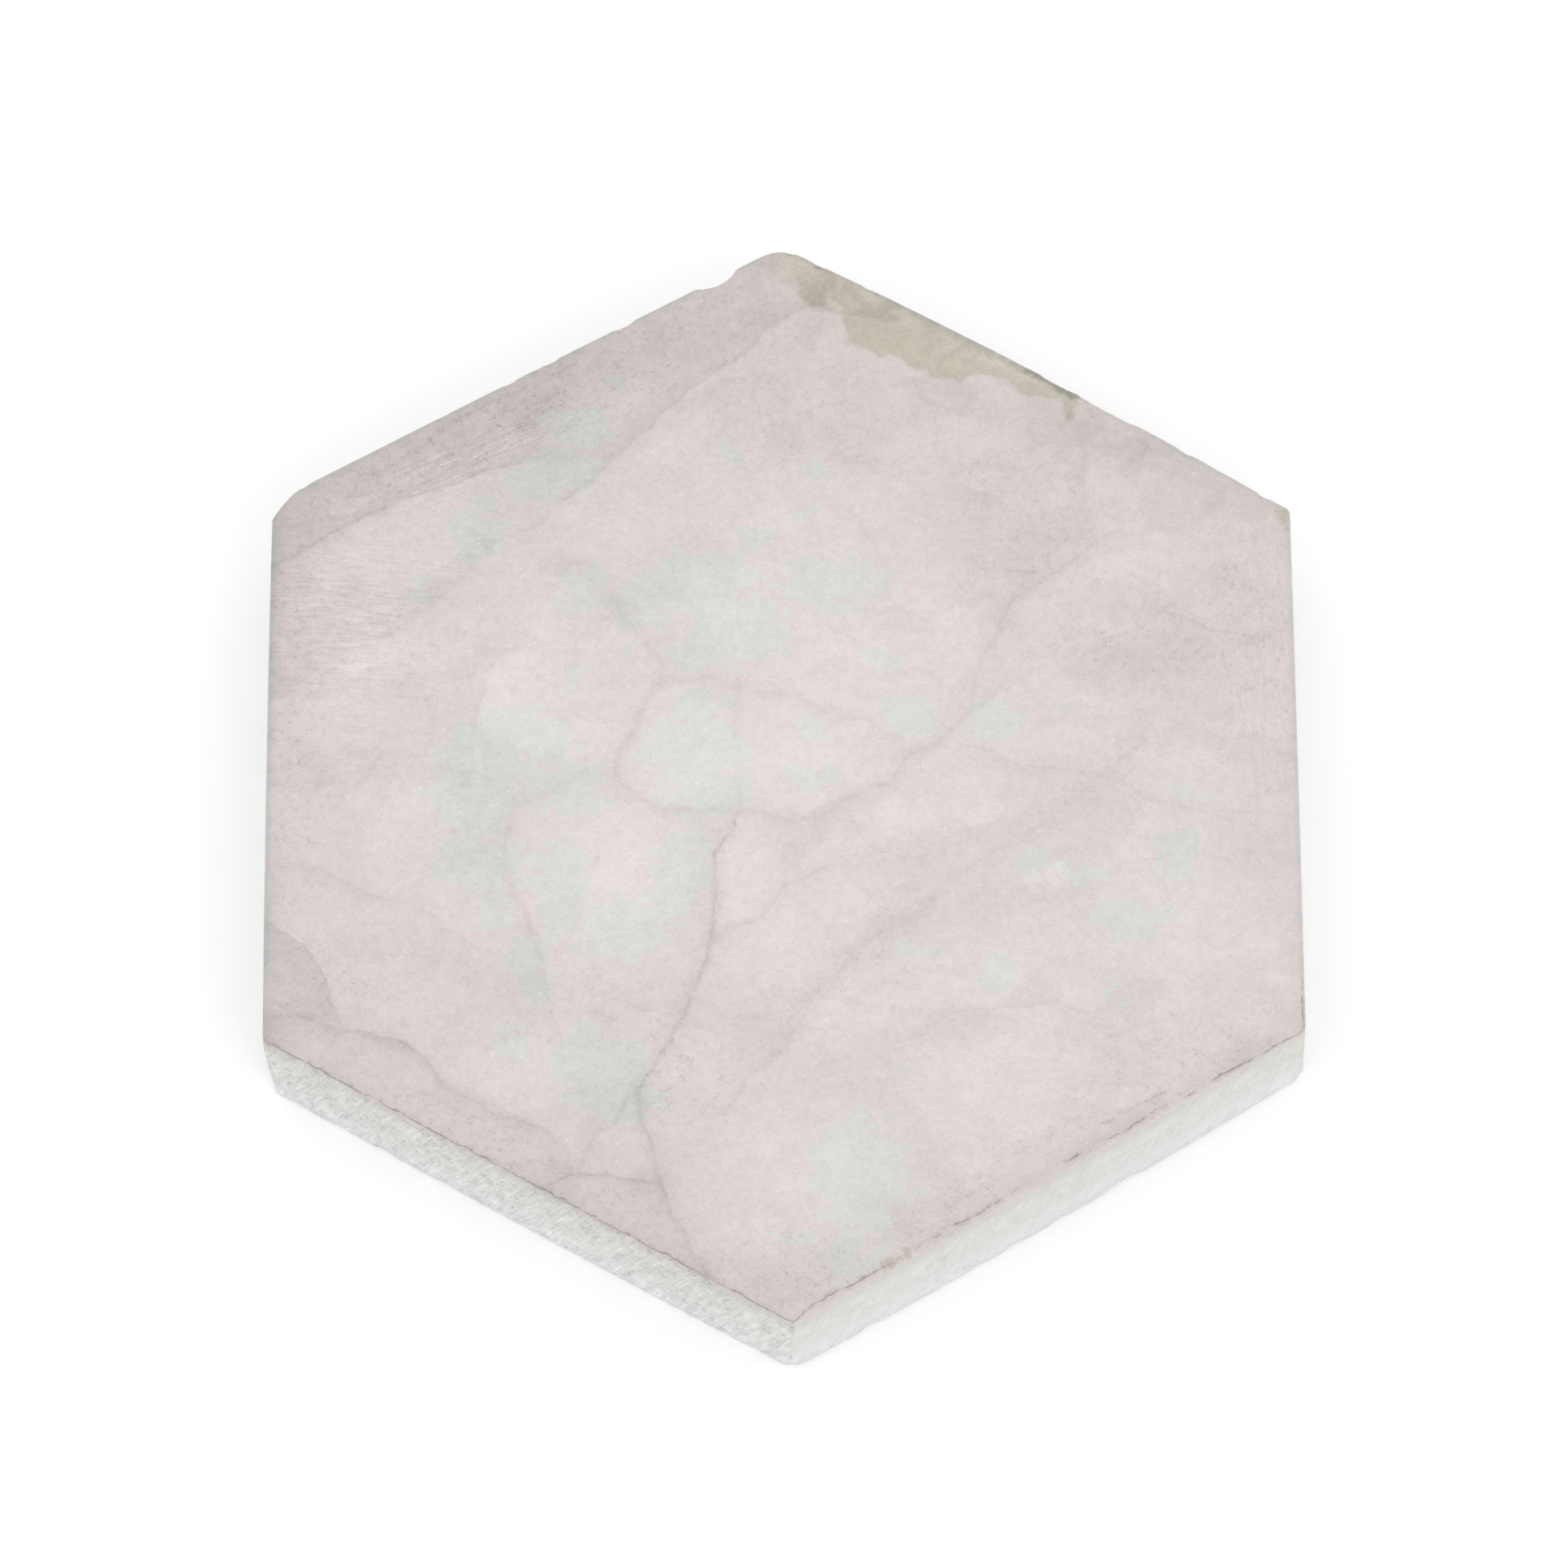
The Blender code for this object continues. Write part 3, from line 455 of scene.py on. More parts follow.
    'sw_gap': (-0.5, [(-30.5, -1), (-25, -2), (-25.5, -5), (-27, -8), (-26.4, -11.5), (-29.5, -10.2),
        (-31.4, -9.5), (-30, -6)]),
    'sw_foot': (1.5, [(-20, -42.5), (-17, -42), (-13, -43.2), (-12, -45), (-14, -47.5), (-17, -46.5),
        (-19.5, -45)]),
    'sw_vdark': (-1.5, [(-4.9, -26.2), (-2, -26), (1.9, -24), (1.9, -28), (0, -30), (-2, -32), (-4.5, -34),
        (-4.8, -30)]),
    'se_a': (1, [(6.5, -4.2), (9.1, -2.1), (11.6, -0.5), (12.6, -3), (13.1, -5.5), (11.1, -7.6), (8.5, -8.6),
        (7.4, -6.5)]),
    'se_b': (1.5, [(12.6, -0.5), (18, 0), (24, -0.5), (25, -3), (22, -5.1), (18, -6.1), (14, -5.6), (13, -3)]),
    'se_c': (1, [(2.2, -8), (5, -6.5), (6.6, -7.1), (7.1, -9.1), (4, -9.6)]),
    'se_d': (1, [(1, -13.1), (5, -10.6), (8.1, -10.3), (10.1, -11.1), (10.1, -14.1), (8.1, -16.6),
        (5.5, -19.1), (2.6, -20.1), (0.1, -21.1), (-2, -20.1), (-2, -15)]),
    'se_e': (1.5, [(2.5, -27.2), (3.5, -24.1), (6.1, -21.1), (9.6, -22.1), (10.1, -25.1), (9.1, -28.1),
        (7, -30.1), (4.5, -29.6)]),
    'se_f': (1.5, [(10.1, -18.6), (12.5, -17.5), (14.1, -19.1), (13, -20.1), (10.5, -20.1)]),
    'se_g': (0.5, [(14.1, -20.1), (18, -19.1), (24, -19.1), (24, -21.1), (22.1, -24.1), (19, -24.6),
        (16.5, -23.1), (14.5, -22.1)]),
    'se_h': (2, [(20.1, -8.8), (23, -8.4), (26, -9.5), (27.6, -11.1), (26.1, -14.1), (24, -13.1),
        (22.1, -11.6)]),
    'se_i': (0.5, [(33, -8.6), (34, -6.1), (37.1, -6.1), (39.6, -7.6), (40.6, -9.1), (38, -10.1), (35, -9.8)]),
    'se_j': (0.5, [(36.1, -12.6), (38, -11.6), (40.6, -13.1), (40, -15.1), (37.5, -15.1)]),
    'se_k': (1, [(37, -15.5), (41, -15), (46, -15.5), (48, -18), (46, -21), (42, -22), (38, -20), (36, -17.5)]),
    'se_l': (1.5, [(26, -22.6), (28, -21), (30.5, -22), (30.5, -24.6), (28, -25.1), (26.2, -24.5)]),
    'se_m': (2, [(10, -35), (11.1, -32), (13.1, -29.1), (18, -28), (20.1, -26), (25, -25.6), (26.1, -28),
        (28.1, -30), (30.1, -32.6), (29.1, -36.1), (25, -38.1), (22, -40.1), (20, -43.1), (17.5, -43.6),
        (15.6, -42.1), (15, -39.1), (13, -36.1)]),
    'se_n': (1.5, [(-7, -38.5), (-5, -36), (-2, -34), (1, -33.5), (5, -35), (8, -36), (11, -37.5), (12.5, -40),
        (11.5, -43.5), (10, -47.5), (7, -49.2), (3, -49.5), (-2, -49.5), (-6, -49), (-8.5, -46), (-10, -43),
        (-9, -40)]),
    'se_n_core': (1.5, [(2, -38), (5, -36.5), (8, -38), (9.5, -40), (8, -43), (6, -46), (3, -48), (-1, -49.2),
        (-2, -46.5), (1, -43)]),
    'se_o': (2.5, [(46.1, -21.1), (48.6, -20.1), (49, -22.5), (47.1, -23.1)]),
    'se_dark_strip': (-1.5, [(10, -34), (12.5, -36.5), (14.8, -39.5), (15.2, -42.5), (17.5, -44), (14.5, -45),
        (11.5, -45), (11.2, -42), (12.5, -39.5)]),
    'se_dark_low': (-0.5, [(30, -32.6), (33, -30), (37, -30), (39, -31), (36, -34), (32, -35), (29, -36.5)]),
    'se_dark_hook': (-2, [(23, -21.5), (24.5, -21), (26, -22.5), (26, -24.5), (23, -24.8)]),
    'se_corner': (-3.5, [(8.5, -46), (13, -45.2), (19, -44.5), (14.5, -47), (10.5, -48.8)]),
    'se_bot': (-2.5, [(-11, -52.5), (-7, -53.2), (-2, -53), (3.5, -53.2), (6, -52), (3, -54.5), (-0.5, -57.5),
        (-5, -55.8)]),
    'se_right_mid': (1.5, [(37, -22), (42, -22.5), (46, -24), (45.5, -27), (41, -29.5), (37, -29), (35, -26)]),
    'mid_cell': (3.5, [(-15.3, 2.5), (-14.3, 5), (-13, 8), (-11.5, 9.3), (-8.5, 9.8), (-5.5, 9.3), (-4.9, 8),
        (-5.3, 5), (-4.6, 3), (-4.8, 0), (-4.6, -1.5), (-5.5, -2.8), (-7, -3.8), (-10, -4), (-12.5, -3.5),
        (-14.5, -1.8), (-15.5, 0.2)]),
    'mid_cell_core': (1, [(-14, 2), (-12.5, 4.5), (-10, 5), (-8, 3), (-7.5, 0), (-9, -2.5), (-12, -2.8),
        (-14, -1)]),
    'centre_cell': (2.5, [(-4, 7.8), (-3, 8.2), (-1, 7.8), (1, 7), (3, 5.5), (5, 5.2), (8, 5), (9.5, 3.8),
        (11, 2.8), (11.5, 1.6), (10, 0), (8, -1.2), (6, -2), (4.5, -3.5), (2, -4.2), (0, -4.3), (-2, -3.4),
        (-3.8, -2.5), (-4, 0), (-4.2, 3), (-3.9, 6)]),
    'centre_core': (1.5, [(0, 4.5), (4.5, 4.5), (5, 1), (4, -3), (1, -3.8), (-0.5, -2), (-0.5, 2)]),
    'east_tip': (1.5, [(35.3, 5.2), (37.5, 5), (38.2, 7), (37.2, 9.2), (35.4, 9), (34.8, 7.2)]),
    'nw_rim_dark': (-3.5, [(-20.9, 46.6), (-20.5, 43.5), (-21.5, 40.5), (-24.5, 36.8), (-30, 35), (-34, 34.5),
        (-40, 31.5), (-46, 27), (-50, 24.5), (-52, 28), (-40, 36.5), (-22, 48)]),
    'top_dark': (-2, [(-22, 48), (-20.2, 44), (-16.8, 45), (-14.3, 46), (-14, 48.8), (-9, 50.4), (-5.6, 53.6),
        (-10, 55)]),
    'top_tip': (2.5, [(0, 55.5), (0.8, 52.5), (2.8, 51.2), (4.6, 52.5), (4.4, 56), (1, 58), (-1, 58)]),
    'lower_channel': (-3, [(9, -15), (12.5, -13.8), (15.5, -12.5), (13, -16.5), (10.5, -18.5), (7.5, -20.5),
        (5, -23), (3, -26.5), (0.5, -30), (-2, -31), (-1, -28), (1, -25), (3, -22.5), (5.5, -19), (7.5, -17)]),
    'nw_black': (-3.5, [(-25.5, 41.5), (-22.3, 42.5), (-21.7, 39.5), (-22.5, 37.3), (-24.5, 36.6), (-26.5, 38)]),
    'stain_below': (-5.5, [(13, 43.5), (20, 42.5), (19, 39.5), (16, 38.8), (14, 41)]),
    'wedge_gap': (-3.5, [(2.2, 49.8), (4.3, 49.5), (3.3, 45), (2.4, 43), (1.2, 44), (1.8, 47)]),
    'vertical_dark': (-1, [(28.5, 38), (30.3, 38), (30.2, 30), (30.2, 25.5), (28, 25.3), (27.2, 27), (29, 28),
        (29.2, 33)]),
}


# Crisp-edged regions: (level, softness, border).  A border runs along veins and loose points.
CELLS = [
    # band along the north-west side
    (-2, 0, [(-60, 22.3), "band_edge", (-20.5, 37.5), (-17.5, 41.0), (-13.0, 45.0), (-8.0, 49.0), (0.0, 60.0), (-60, 60)]),
    # cell in the top corner
    (-6.5, 0, ["long_upper", "long_upper_low", (-60, 7.7), (-60, 60), (3.0, 60), (4.7, 53.9)]),
    # cell cut off by the west side
    (-4.5, 0, [(-60, -14.9), "corner_cell", "-lower_left", (-60, -25.8)]),
    # below the lower-left vein
    (-4, 0, [(-60, -25.8), "lower_left", (-20.5, -42.4), (-23.3, -43.9), (-26, -50), (-60, -40)]),
    # shelf at the bottom left
    (-6, 0, ["lower_shelf", (-11.4, -45.0), (-9.2, -50.3), (-6.9, -53.6), (-10, -60), (-40, -50)]),
]

# Soft patches: (x, y, half length, half width, turn, level).
BLOBS = [
    # bright hearts of the cells
    (-25.0, 8.0, 5.0, 6.0, 0, 9.5), (-26.5, 4.5, 3.0, 1.8, 0, 1), (-9.0, 2.0, 5.5, 6.5, 0, 7.5),
    (2.0, 2.0, 6.0, 5.5, 0, 6.5), (-16.0, -13.0, 7.5, 8.0, 0, 9), (-20.0, -5.0, 6.0, 4.5, -15, 4),
    (-11.0, -8.0, 3.0, 4.0, 0, 2), (-4.2, -10.0, 2.6, 5.5, 0, 8.5), (-6.0, 17.0, 5.0, 5.5, 0, 5.5),
    (1.0, 16.0, 9.0, 6.0, 0, 5.5), (8.0, 11.0, 6.0, 5.0, 0, 6), (12.5, 6.0, 4.0, 2.5, 0, 4.5),
    (16.5, 15.0, 3.0, 5.0, 0, 6), (3.0, 25.5, 8.5, 6.5, 0, 4), (-15.5, 26.0, 5.0, 3.5, 20, 3),
    (-8.0, 30.0, 9.0, 6.0, 40, 1.5), (-22.0, 17.0, 5.0, 3.0, 0, 3.5), (20.5, 6.0, 3.0, 2.5, 0, 3),
    (26.0, 5.0, 7.5, 3.8, 0, 3), (35.0, 23.0, 4.5, 2.6, 0, 3), (27.0, 17.0, 6.0, 3.0, 0, 2.5),
    (14.0, -2.5, 7.0, 4.5, 0, 6.5), (9.0, -6.0, 3.5, 2.5, 0, 4), (3.0, -14.5, 5.5, 6.5, -40, 6.5),
    (-1.0, -21.0, 4.5, 4.5, 0, 2), (18.0, -20.0, 8.0, 4.0, 10, 6.5), (21.0, -21.5, 2.6, 3.0, 0, 1.5),
    (37.0, -15.0, 9.0, 6.5, -20, 7.5), (25.0, -10.5, 4.0, 2.0, 0, 3.5), (38.0, -7.0, 5.0, 3.0, 0, 3),
    (42.0, 0.0, 5.0, 3.0, 0, 3), (5.5, -26.5, 4.0, 3.2, 20, 5.5), (20.0, -32.0, 9.0, 6.0, 10, 4.5),
    (5.5, -41.0, 7.0, 6.5, 0, 4.5), (-3.0, -41.0, 5.0, 7.0, 0, 2), (-36.0, -5.0, 5.0, 7.0, 0, 4.5),
    (-30.0, -14.0, 4.5, 4.5, 0, 2.5), (-38.0, 12.5, 7.0, 2.6, 15, 4), (-39.0, 23.0, 6.0, 3.0, 20, 4),
    (-25.0, -31.0, 5.0, 4.0, 0, 3), (-7.5, -31.0, 3.0, 3.5, 0, 1.5), (46.0, 8.0, 3.0, 4.0, 0, 1.5),
    (-44.0, 6.0, 4.0, 3.0, 0, 1.5), (45.0, 23.0, 4.0, 4.0, 0, -2.5), (12.0, 32.0, 4.0, 4.0, 0, 1),
    # darker ground
    (24.5, 25.0, 5.5, 3.6, 0, -3.5), (21.5, 20.5, 3.5, 3.0, 30, -3), (21.0, 31.0, 6.5, 4.0, 0, -3.5),
    (38.0, 14.0, 6.5, 4.2, 0, -4), (33.0, 11.0, 4.0, 2.2, 0, -3.5), (45.0, 17.0, 4.0, 4.0, 0, -3.5),
    (30.5, -1.5, 4.0, 1.6, 25, -4), (-28.5, -3.5, 2.4, 8.0, 0, 1.5), (-27.0, -24.0, 5.0, 3.6, 0, -1),
    (-20.5, -24.5, 4.0, 3.0, 0, -1), (-8.5, -23.0, 2.6, 5.0, -20, 0), (12.5, -38.0, 2.4, 4.0, 20, -2),
    (16.0, -48.0, 6.0, 2.2, 30, -4.5), (-1.0, -53.5, 8.0, 2.4, 0, -4.5), (3.0, 38.0, 4.5, 5.0, 0, -2),
    (-26.0, 28.0, 6.0, 3.0, 50, 1), (-31.0, 20.5, 5.0, 2.4, 50, 0.5), (-46.0, 0.0, 3.0, 4.0, 0, -3.5),
    (-27.0, -39.5, 7.0, 2.6, -30, -0.5), (-20.0, 43.0, 9.0, 3.2, 30, -5.5), (-31.0, 36.0, 7.0, 2.6, 28, -2),
    (27.0, 38.0, 7.0, 4.0, -30, -6.5), (-47.0, 15.5, 2.5, 6.0, 0, -4.5), (40.0, -28.0, 7.0, 2.6, 30, 1),
    (-43.0, -20.0, 6.0, 6.0, 0, -1), (28.0, -24.0, 6.0, 2.0, -20, 2), (0.5, -29.0, 2.5, 4.5, -40, 1),
    (43.0, 31.8, 9.0, 1.8, -30, -7), (-49.2, -28.0, 2.2, 1.8, 0, -8), (-49.6, 20.0, 1.0, 3.5, 0, -4),
    (-1.4, 55.4, 2.2, 2.4, 0, -5), (10.5, 45.0, 3.6, 1.5, -15, -3), (44.3, -30.4, 3.2, 0.9, 27, -7),
    (28.4, -40.2, 4.0, 0.8, 30, -5), (34.4, -36.5, 2.6, 0.8, 28, -4),
]

# Darkening in from each sawn side: (level, how far in it reaches).
EDGE_TONE = [(-4, 1.1), (-6, 1.0), (-5, 1.2), (-10, 1.1), (-3.5, 1.0), (-5.5, 1.1)]

# Faint green of the clearer gypsum: (x, y, half length, half width, turn, amount).
GREEN = [
    (-19.5, 38.0, 3.2, 2.6, 0, 1.0), (-22.5, 32.5, 4.8, 2.8, 25, 1.0), (-30.0, 26.5, 2.8, 3.4, 0, 0.9),
    (-35.0, 20.0, 1.6, 2.2, 0, 0.7), (-16.0, 43.0, 1.2, 1.4, 0, 0.8), (-19.5, 20.0, 3.2, 3.6, 0, 0.7),
    (-13.0, 18.5, 4.6, 3.4, 0, 0.8), (-7.5, 20.5, 5.0, 4.0, 0, 1.0), (-4.5, 15.5, 5.5, 4.5, 0, 1.0),
    (-9.0, 12.5, 3.0, 1.8, 0, 0.9), (5.0, 20.3, 5.2, 2.9, 0, 1.0), (3.5, 33.0, 1.6, 1.3, 0, 0.8),
    (2.5, 28.5, 1.5, 1.3, 0, 0.8), (-2.5, 25.3, 1.8, 1.2, 0, 0.8), (-4.8, 34.6, 1.3, 1.8, 0, 0.9),
    (-20.0, 10.5, 1.4, 1.8, 0, 0.8), (-15.0, 13.0, 1.2, 1.5, 0, 0.7), (10.0, 12.5, 3.0, 1.6, -20, 0.7),
    (-26.0, 3.5, 6.0, 4.0, 0, 1.0), (-30.0, -1.0, 4.5, 6.0, 0, 1.0), (-20.5, -2.0, 4.2, 3.6, 0, 0.9),
    (-29.5, -9.5, 4.5, 3.0, 0, 1.0), (-27.5, -14.0, 2.2, 3.6, 0, 0.8), (-24.5, -20.5, 2.1, 4.2, 10, 1.0),
    (-8.0, 2.5, 5.2, 3.8, 0, 1.0), (-7.5, -1.8, 4.2, 2.6, 0, 1.0), (-8.0, 7.3, 3.2, 1.8, 0, 1.0),
    (-21.5, -12.5, 3.0, 5.6, 0, 1.0), (-15.5, -16.5, 5.5, 3.4, 0, 1.0), (-10.5, -11.5, 2.8, 6.5, -15, 1.0),
    (-17.5, -31.5, 5.0, 4.4, -30, 1.0), (-15.5, -35.2, 4.4, 2.0, 0, 1.0), (-26.0, -28.5, 2.4, 2.2, 0, 0.7),
    (3.0, 4.6, 2.0, 1.4, 0, 0.8), (3.0, -0.6, 3.2, 1.5, 0, 0.9), (8.0, -0.4, 2.0, 0.8, 0, 0.6),
    (12.5, 6.0, 3.4, 2.0, -20, 1.0), (20.5, 5.2, 3.2, 2.2, 20, 1.0), (28.0, 7.0, 1.4, 1.0, 0, 0.6),
    (7.0, -43.0, 4.6, 6.5, 0, 1.0), (5.5, -51.0, 3.0, 2.6, 0, 0.9), (0.5, -48.5, 2.6, 1.6, 0, 0.7),
    (33.5, -16.0, 4.4, 2.6, 0, 0.9), (38.0, -9.0, 2.2, 3.4, 0, 1.0), (29.0, -11.5, 2.2, 1.8, 0, 0.8),
    (23.8, -9.7, 2.2, 1.2, 0, 0.9), (20.5, -21.5, 1.9, 2.4, 0, 1.0), (13.0, -19.2, 2.4, 1.1, 0, 0.8),
    (12.5, -31.0, 2.6, 1.1, 20, 0.7), (32.0, -24.0, 1.6, 1.4, 0, 0.7), (39.0, -2.0, 2.2, 1.4, -40, 0.7),
]

# Iron stain along the north-east side.
STAIN = [(1.3, 62), (1.3, 57.3), (1.5, 55.0), (1.8, 53.7), (2.0, 52.6), (2.7, 51.7), (3.2, 50.9),
         (4.6, 50.9), (5.9, 50.4), (6.7, 49.2), (6.9, 47.6), (7.9, 46.7), (9.4, 46.2), (9.9, 45.4), (10.4, 45.3),
         (10.8, 45.9), (12.1, 45.5), (12.7, 44.5), (14.6, 44.0), (15.0, 43.2), (17.3, 42.9), (17.8, 42.5),
         (18.3, 43.0), (19.7, 43.7), (21.5, 43.4), (23.0, 42.6), (23.9, 41.4), (27.9, 40.7),
         (28.2, 38.4), (29.1, 38.4), (29.6, 40.7), (32.3, 41.4), (40, 50), (20, 70)]

# Rubbed areas: (stroke direction in degrees, x, y, half sizes, turn, amount).
SCRATCHED = [
    (-4, -43.0, 18.0, 7.5, 9.0, 0, 1.0), (-4, -42.0, 4.0, 6.0, 5.0, 0, 0.45), (-4, -33.0, 24.0, 6.0, 4.0, 20, 0.5),
    (27, -30.0, 34.5, 11.0, 3.2, 28, 1.0), (27, -42.0, 26.5, 6.0, 2.5, 28, 0.6),
    (-84, 46.5, 12.0, 3.4, 13.0, 0, 0.5), (-84, 28.0, 29.0, 4.0, 5.0, 0, 0.3),
]

# Small dark spots: (x, y, radius, amount).
SPOTS = [
    (28.7, 30.6, 0.28, 0.7), (25.8, 27.9, 0.22, 0.7), (35.0, 3.4, 0.3, 0.6), (-31.0, -1.2, 0.3, 0.7),
    (-18.1, -9.0, 0.25, 0.6), (-2.8, -25.8, 0.22, 0.8), (-20.3, 48.5, 0.2, 0.8), (6.9, 47.4, 0.25, 0.9),
    (12.2, 48.2, 0.22, 0.8), (12.6, 47.8, 0.18, 0.9), (-17.7, 36.7, 0.2, 0.5), (-5.5, 37.8, 0.2, 0.5),
    (3.2, 39.4, 0.2, 0.6), (14.4, 30.2, 0.22, 0.6), (-23.8, 10.2, 0.22, 0.6), (2.4, -8.9, 0.22, 0.5),
]

# Dabs of a stronger colour inside the iron stain: kind, radius, then the points they follow.
STAIN_DABS = [
    ("red", 0.55, [(4.9, 54.8), (5.5, 54.1)]), ("red", 0.45, [(6.6, 53.9), (7.5, 52.9), (7.8, 52.2)]),
    ("red", 0.40, [(8.6, 51.3), (8.9, 50.8)]), ("red", 0.35, [(3.9, 55.6), (4.3, 55.1)]),
    ("grey", 0.55, [(10.2, 50.9), (11.4, 51.6), (13.0, 51.3), (13.9, 50.2), (14.5, 49.9), (15.4, 48.8)]),
    ("grey", 0.34, [(3.3, 51.3), (4.0, 51.7), (4.4, 52.7)]), ("grey", 0.45, [(8.3, 50.6), (10.0, 50.1), (11.7, 49.9)]),
    ("grey", 0.16, [(16.0, 44.6), (16.6, 45.6), (17.4, 46.2), (18.4, 46.7)]),
    ("grey", 0.22, [(4.8, 54.1), (4.6, 51.0), (4.1, 48.1), (3.3, 45.5)]),
    ("pale", 0.26, [(19.7, 45.3), (20.6, 45.4), (21.8, 44.6), (23.1, 44.0), (24.1, 43.5), (25.4, 43.0)]),
    ("pale", 0.55, [(4.6, 52.6), (5.0, 51.6), (5.8, 51.1)]),
    # olive dab on the north-east rim: stain colour with the painted shadow of the chip there
    ("olive", 0.42, [(24.7, 44.1), (26.1, 43.3), (27.6, 42.3), (29.2, 41.2)]),
    ("grey", 0.30, [(14.4, 49.6), (16.9, 48.2), (19.6, 46.7), (22.4, 45.1), (24.9, 43.7)]),
]

# Parts of the top that hold many dark flecks: (x, y, half length, half width, turn, amount).
SPECKLED = [
    (-16.0, 43.5, 9.0, 4.5, 30, 0.9), (-32.0, 36.0, 16.0, 4.0, 30, 1.0), (-5.0, 50.0, 6.0, 5.0, 40, 0.8),
    (25.0, 23.0, 6.5, 4.0, 0, 0.7), (36.0, 13.0, 9.0, 3.6, 0, 0.7), (46.0, 14.0, 4.5, 11.0, 0, 0.7),
    (-47.5, 5.0, 3.0, 20.0, 0, 0.9), (-43.0, -22.0, 6.0, 6.0, 0, 0.6), (-27.0, -41.0, 14.0, 3.5, -30, 0.9),
    (-10.0, -32.0, 4.5, 6.5, 0, 0.8), (14.0, -47.0, 7.0, 3.2, 30, 0.8), (0.0, -52.5, 8.0, 3.5, 0, 0.8),
    (33.0, -34.0, 16.0, 3.0, 30, 0.7), (22.0, 33.0, 8.0, 5.0, -30, 0.5), (3.0, 40.0, 6.0, 5.0, 0, 0.5),
    (7.0, -20.0, 4.0, 8.0, -40, 0.5), (31.0, -1.5, 5.0, 2.0, 25, 0.5), (-30.0, -5.0, 3.0, 10.0, 0, 0.4),
    (-36.0, 13.0, 9.0, 3.0, 30, 0.4), (-20.0, -27.0, 6.0, 4.0, 0, 0.5),
    (44.3, -30.6, 4.0, 1.1, 27, 1.0), (28.4, -40.4, 5.0, 1.0, 30, 0.9),
]

# Greyer, greener band right at the rim of the sides turned away from the camera, in part painted shade of their rim
# bevels: (side, mm along it, half length, reach, amount).
FRINGE = [
    (2, 33.0, 26.0, 0.50, 0.9), (2, 53.0, 6.0, 0.8, 1.0), (3, 4.0, 6.0, 0.8, 1.0), (3, 30.0, 28.0, 0.55, 1.0),
    (2, 8.0, 7.0, 0.6, 1.0), (0, 28.0, 28.0, 0.45, 0.9), (0, 53.0, 5.0, 0.6, 1.0), (1, 7.0, 9.0, 0.6, 0.9),
    (3, 18.0, 6.0, 0.75, 1.0), (1, 20.0, 8.0, 0.40, 0.8), (3, 46.0, 6.0, 1.3, 0.9),
]

# Bits of the stain elsewhere on the rim: (x, y, radius, amount).
STAIN_BITS = [
    (0.4, 56.5, 1.9, 0.66), (-1.2, 56.3, 1.2, 0.38), (1.3, 54.6, 1.3, 0.58),
    (38.0, 36.1, 0.34, 0.9), (38.9, 35.5, 0.32, 0.9), (39.5, 35.2, 0.24, 0.8),
    (9.6, -51.5, 0.42, 1.0), (9.0, -51.8, 0.25, 0.8), (11.25, -50.35, 0.34, 0.9), (-50.1, 4.3, 0.28, 0.9),
    (-50.1, 2.4, 0.24, 0.9), (-50.1, 0.2, 0.28, 1.0), (-50.1, -1.6, 0.24, 0.9), (-50.1, -3.6, 0.28, 1.0),
    (-50.1, -6.4, 0.24, 0.9), (49.5, 28.1, 0.62, 1.0), (49.6, 27.3, 0.45, 1.0), (49.8, 26.3, 0.36, 1.0),
    (49.95, 25.3, 0.26, 0.9), (48.9, 28.5, 0.45, 0.8), (48.3, 26.4, 0.40, 0.40), (47.2, 29.2, 0.36, 0.40), (49.9, -20.1, 0.28, 0.8), (49.9, -22.7, 0.26, 0.7), (49.9, 6.0, 0.25, 0.5),
]

# Veins that are more of a dusky band than a line: how much.
DUSKY = {"middle_cell": 0.6, "middle_upper": 0.55, "main_down": 0.30, "left_cell": 0.5, "right_line": 0.25,
         "long_upper": 0.4, "long_lower": 0.25, "lower_left": 0.45, "left_arc": 0.4, "upper_arc": 0.6,
         "main_branch": 0.30, "right_upper": 0.35, "east_vertical": 0.7}


# ---------------------------------------------------------------- stations round the outline
# Each station is a column of vertices.  It starts in the middle of the north corner's arc,
# which the camera doesn't see from the front.
stations = []                # (point, side whose strip it belongs to)


def add_arc(i, t0, t1, owner):
    length = sum(CORNERS[i])
    steps = max(2, math.ceil(length * abs(t1 - t0) / 0.16))
    for k in range(steps):
        stations.append((corner_arc(i, t0 + (t1 - t0) * k / steps), owner))


START = 1
for step in range(6):
    i = (START + 1 + step) % 6
    before = (i - 1) % 6
    add_arc(before, 0.5, 1.0, i)
    a, b = CORNERS[before][1] / side_length[i], 1 - CORNERS[i][0] / side_length[i]
    n = math.ceil((b - a) * side_length[i] / SIDE_STEP)
    for k in range(n):
        stations.append((side_point(i, a + (b - a) * k / n), i))
    add_arc(i, 0.0, 0.5, i)

N = len(stations)
ring = np.array([p for p, _ in stations])
owner = np.array([o for _, o in stations])
leans = np.array([lean(p) for p in ring])
foot_ring = ring + leans
all_points = np.vstack([ring, foot_ring])
middle = (all_points.min(0) + all_points.max(0)) / 2
ring = ring - middle
DRAWN = np.array((-0.112, -0.365)) - middle      # where the origin of the marks below lies
tangent = np.roll(ring, -1, 0) - np.roll(ring, 1, 0)
tangent /= np.linalg.norm(tangent, axis=1)[:, None]
outward = np.stack([tangent[:, 1], -tangent[:, 0]], 1)
run = np.linalg.norm(np.roll(ring, -1, 0) - ring, axis=1)
along = np.concatenate([[0.0], np.cumsum(run)])          # N + 1 values; the last closes the ring
strip_first = {i: int(np.flatnonzero(owner == i)[0]) for i in range(6)}


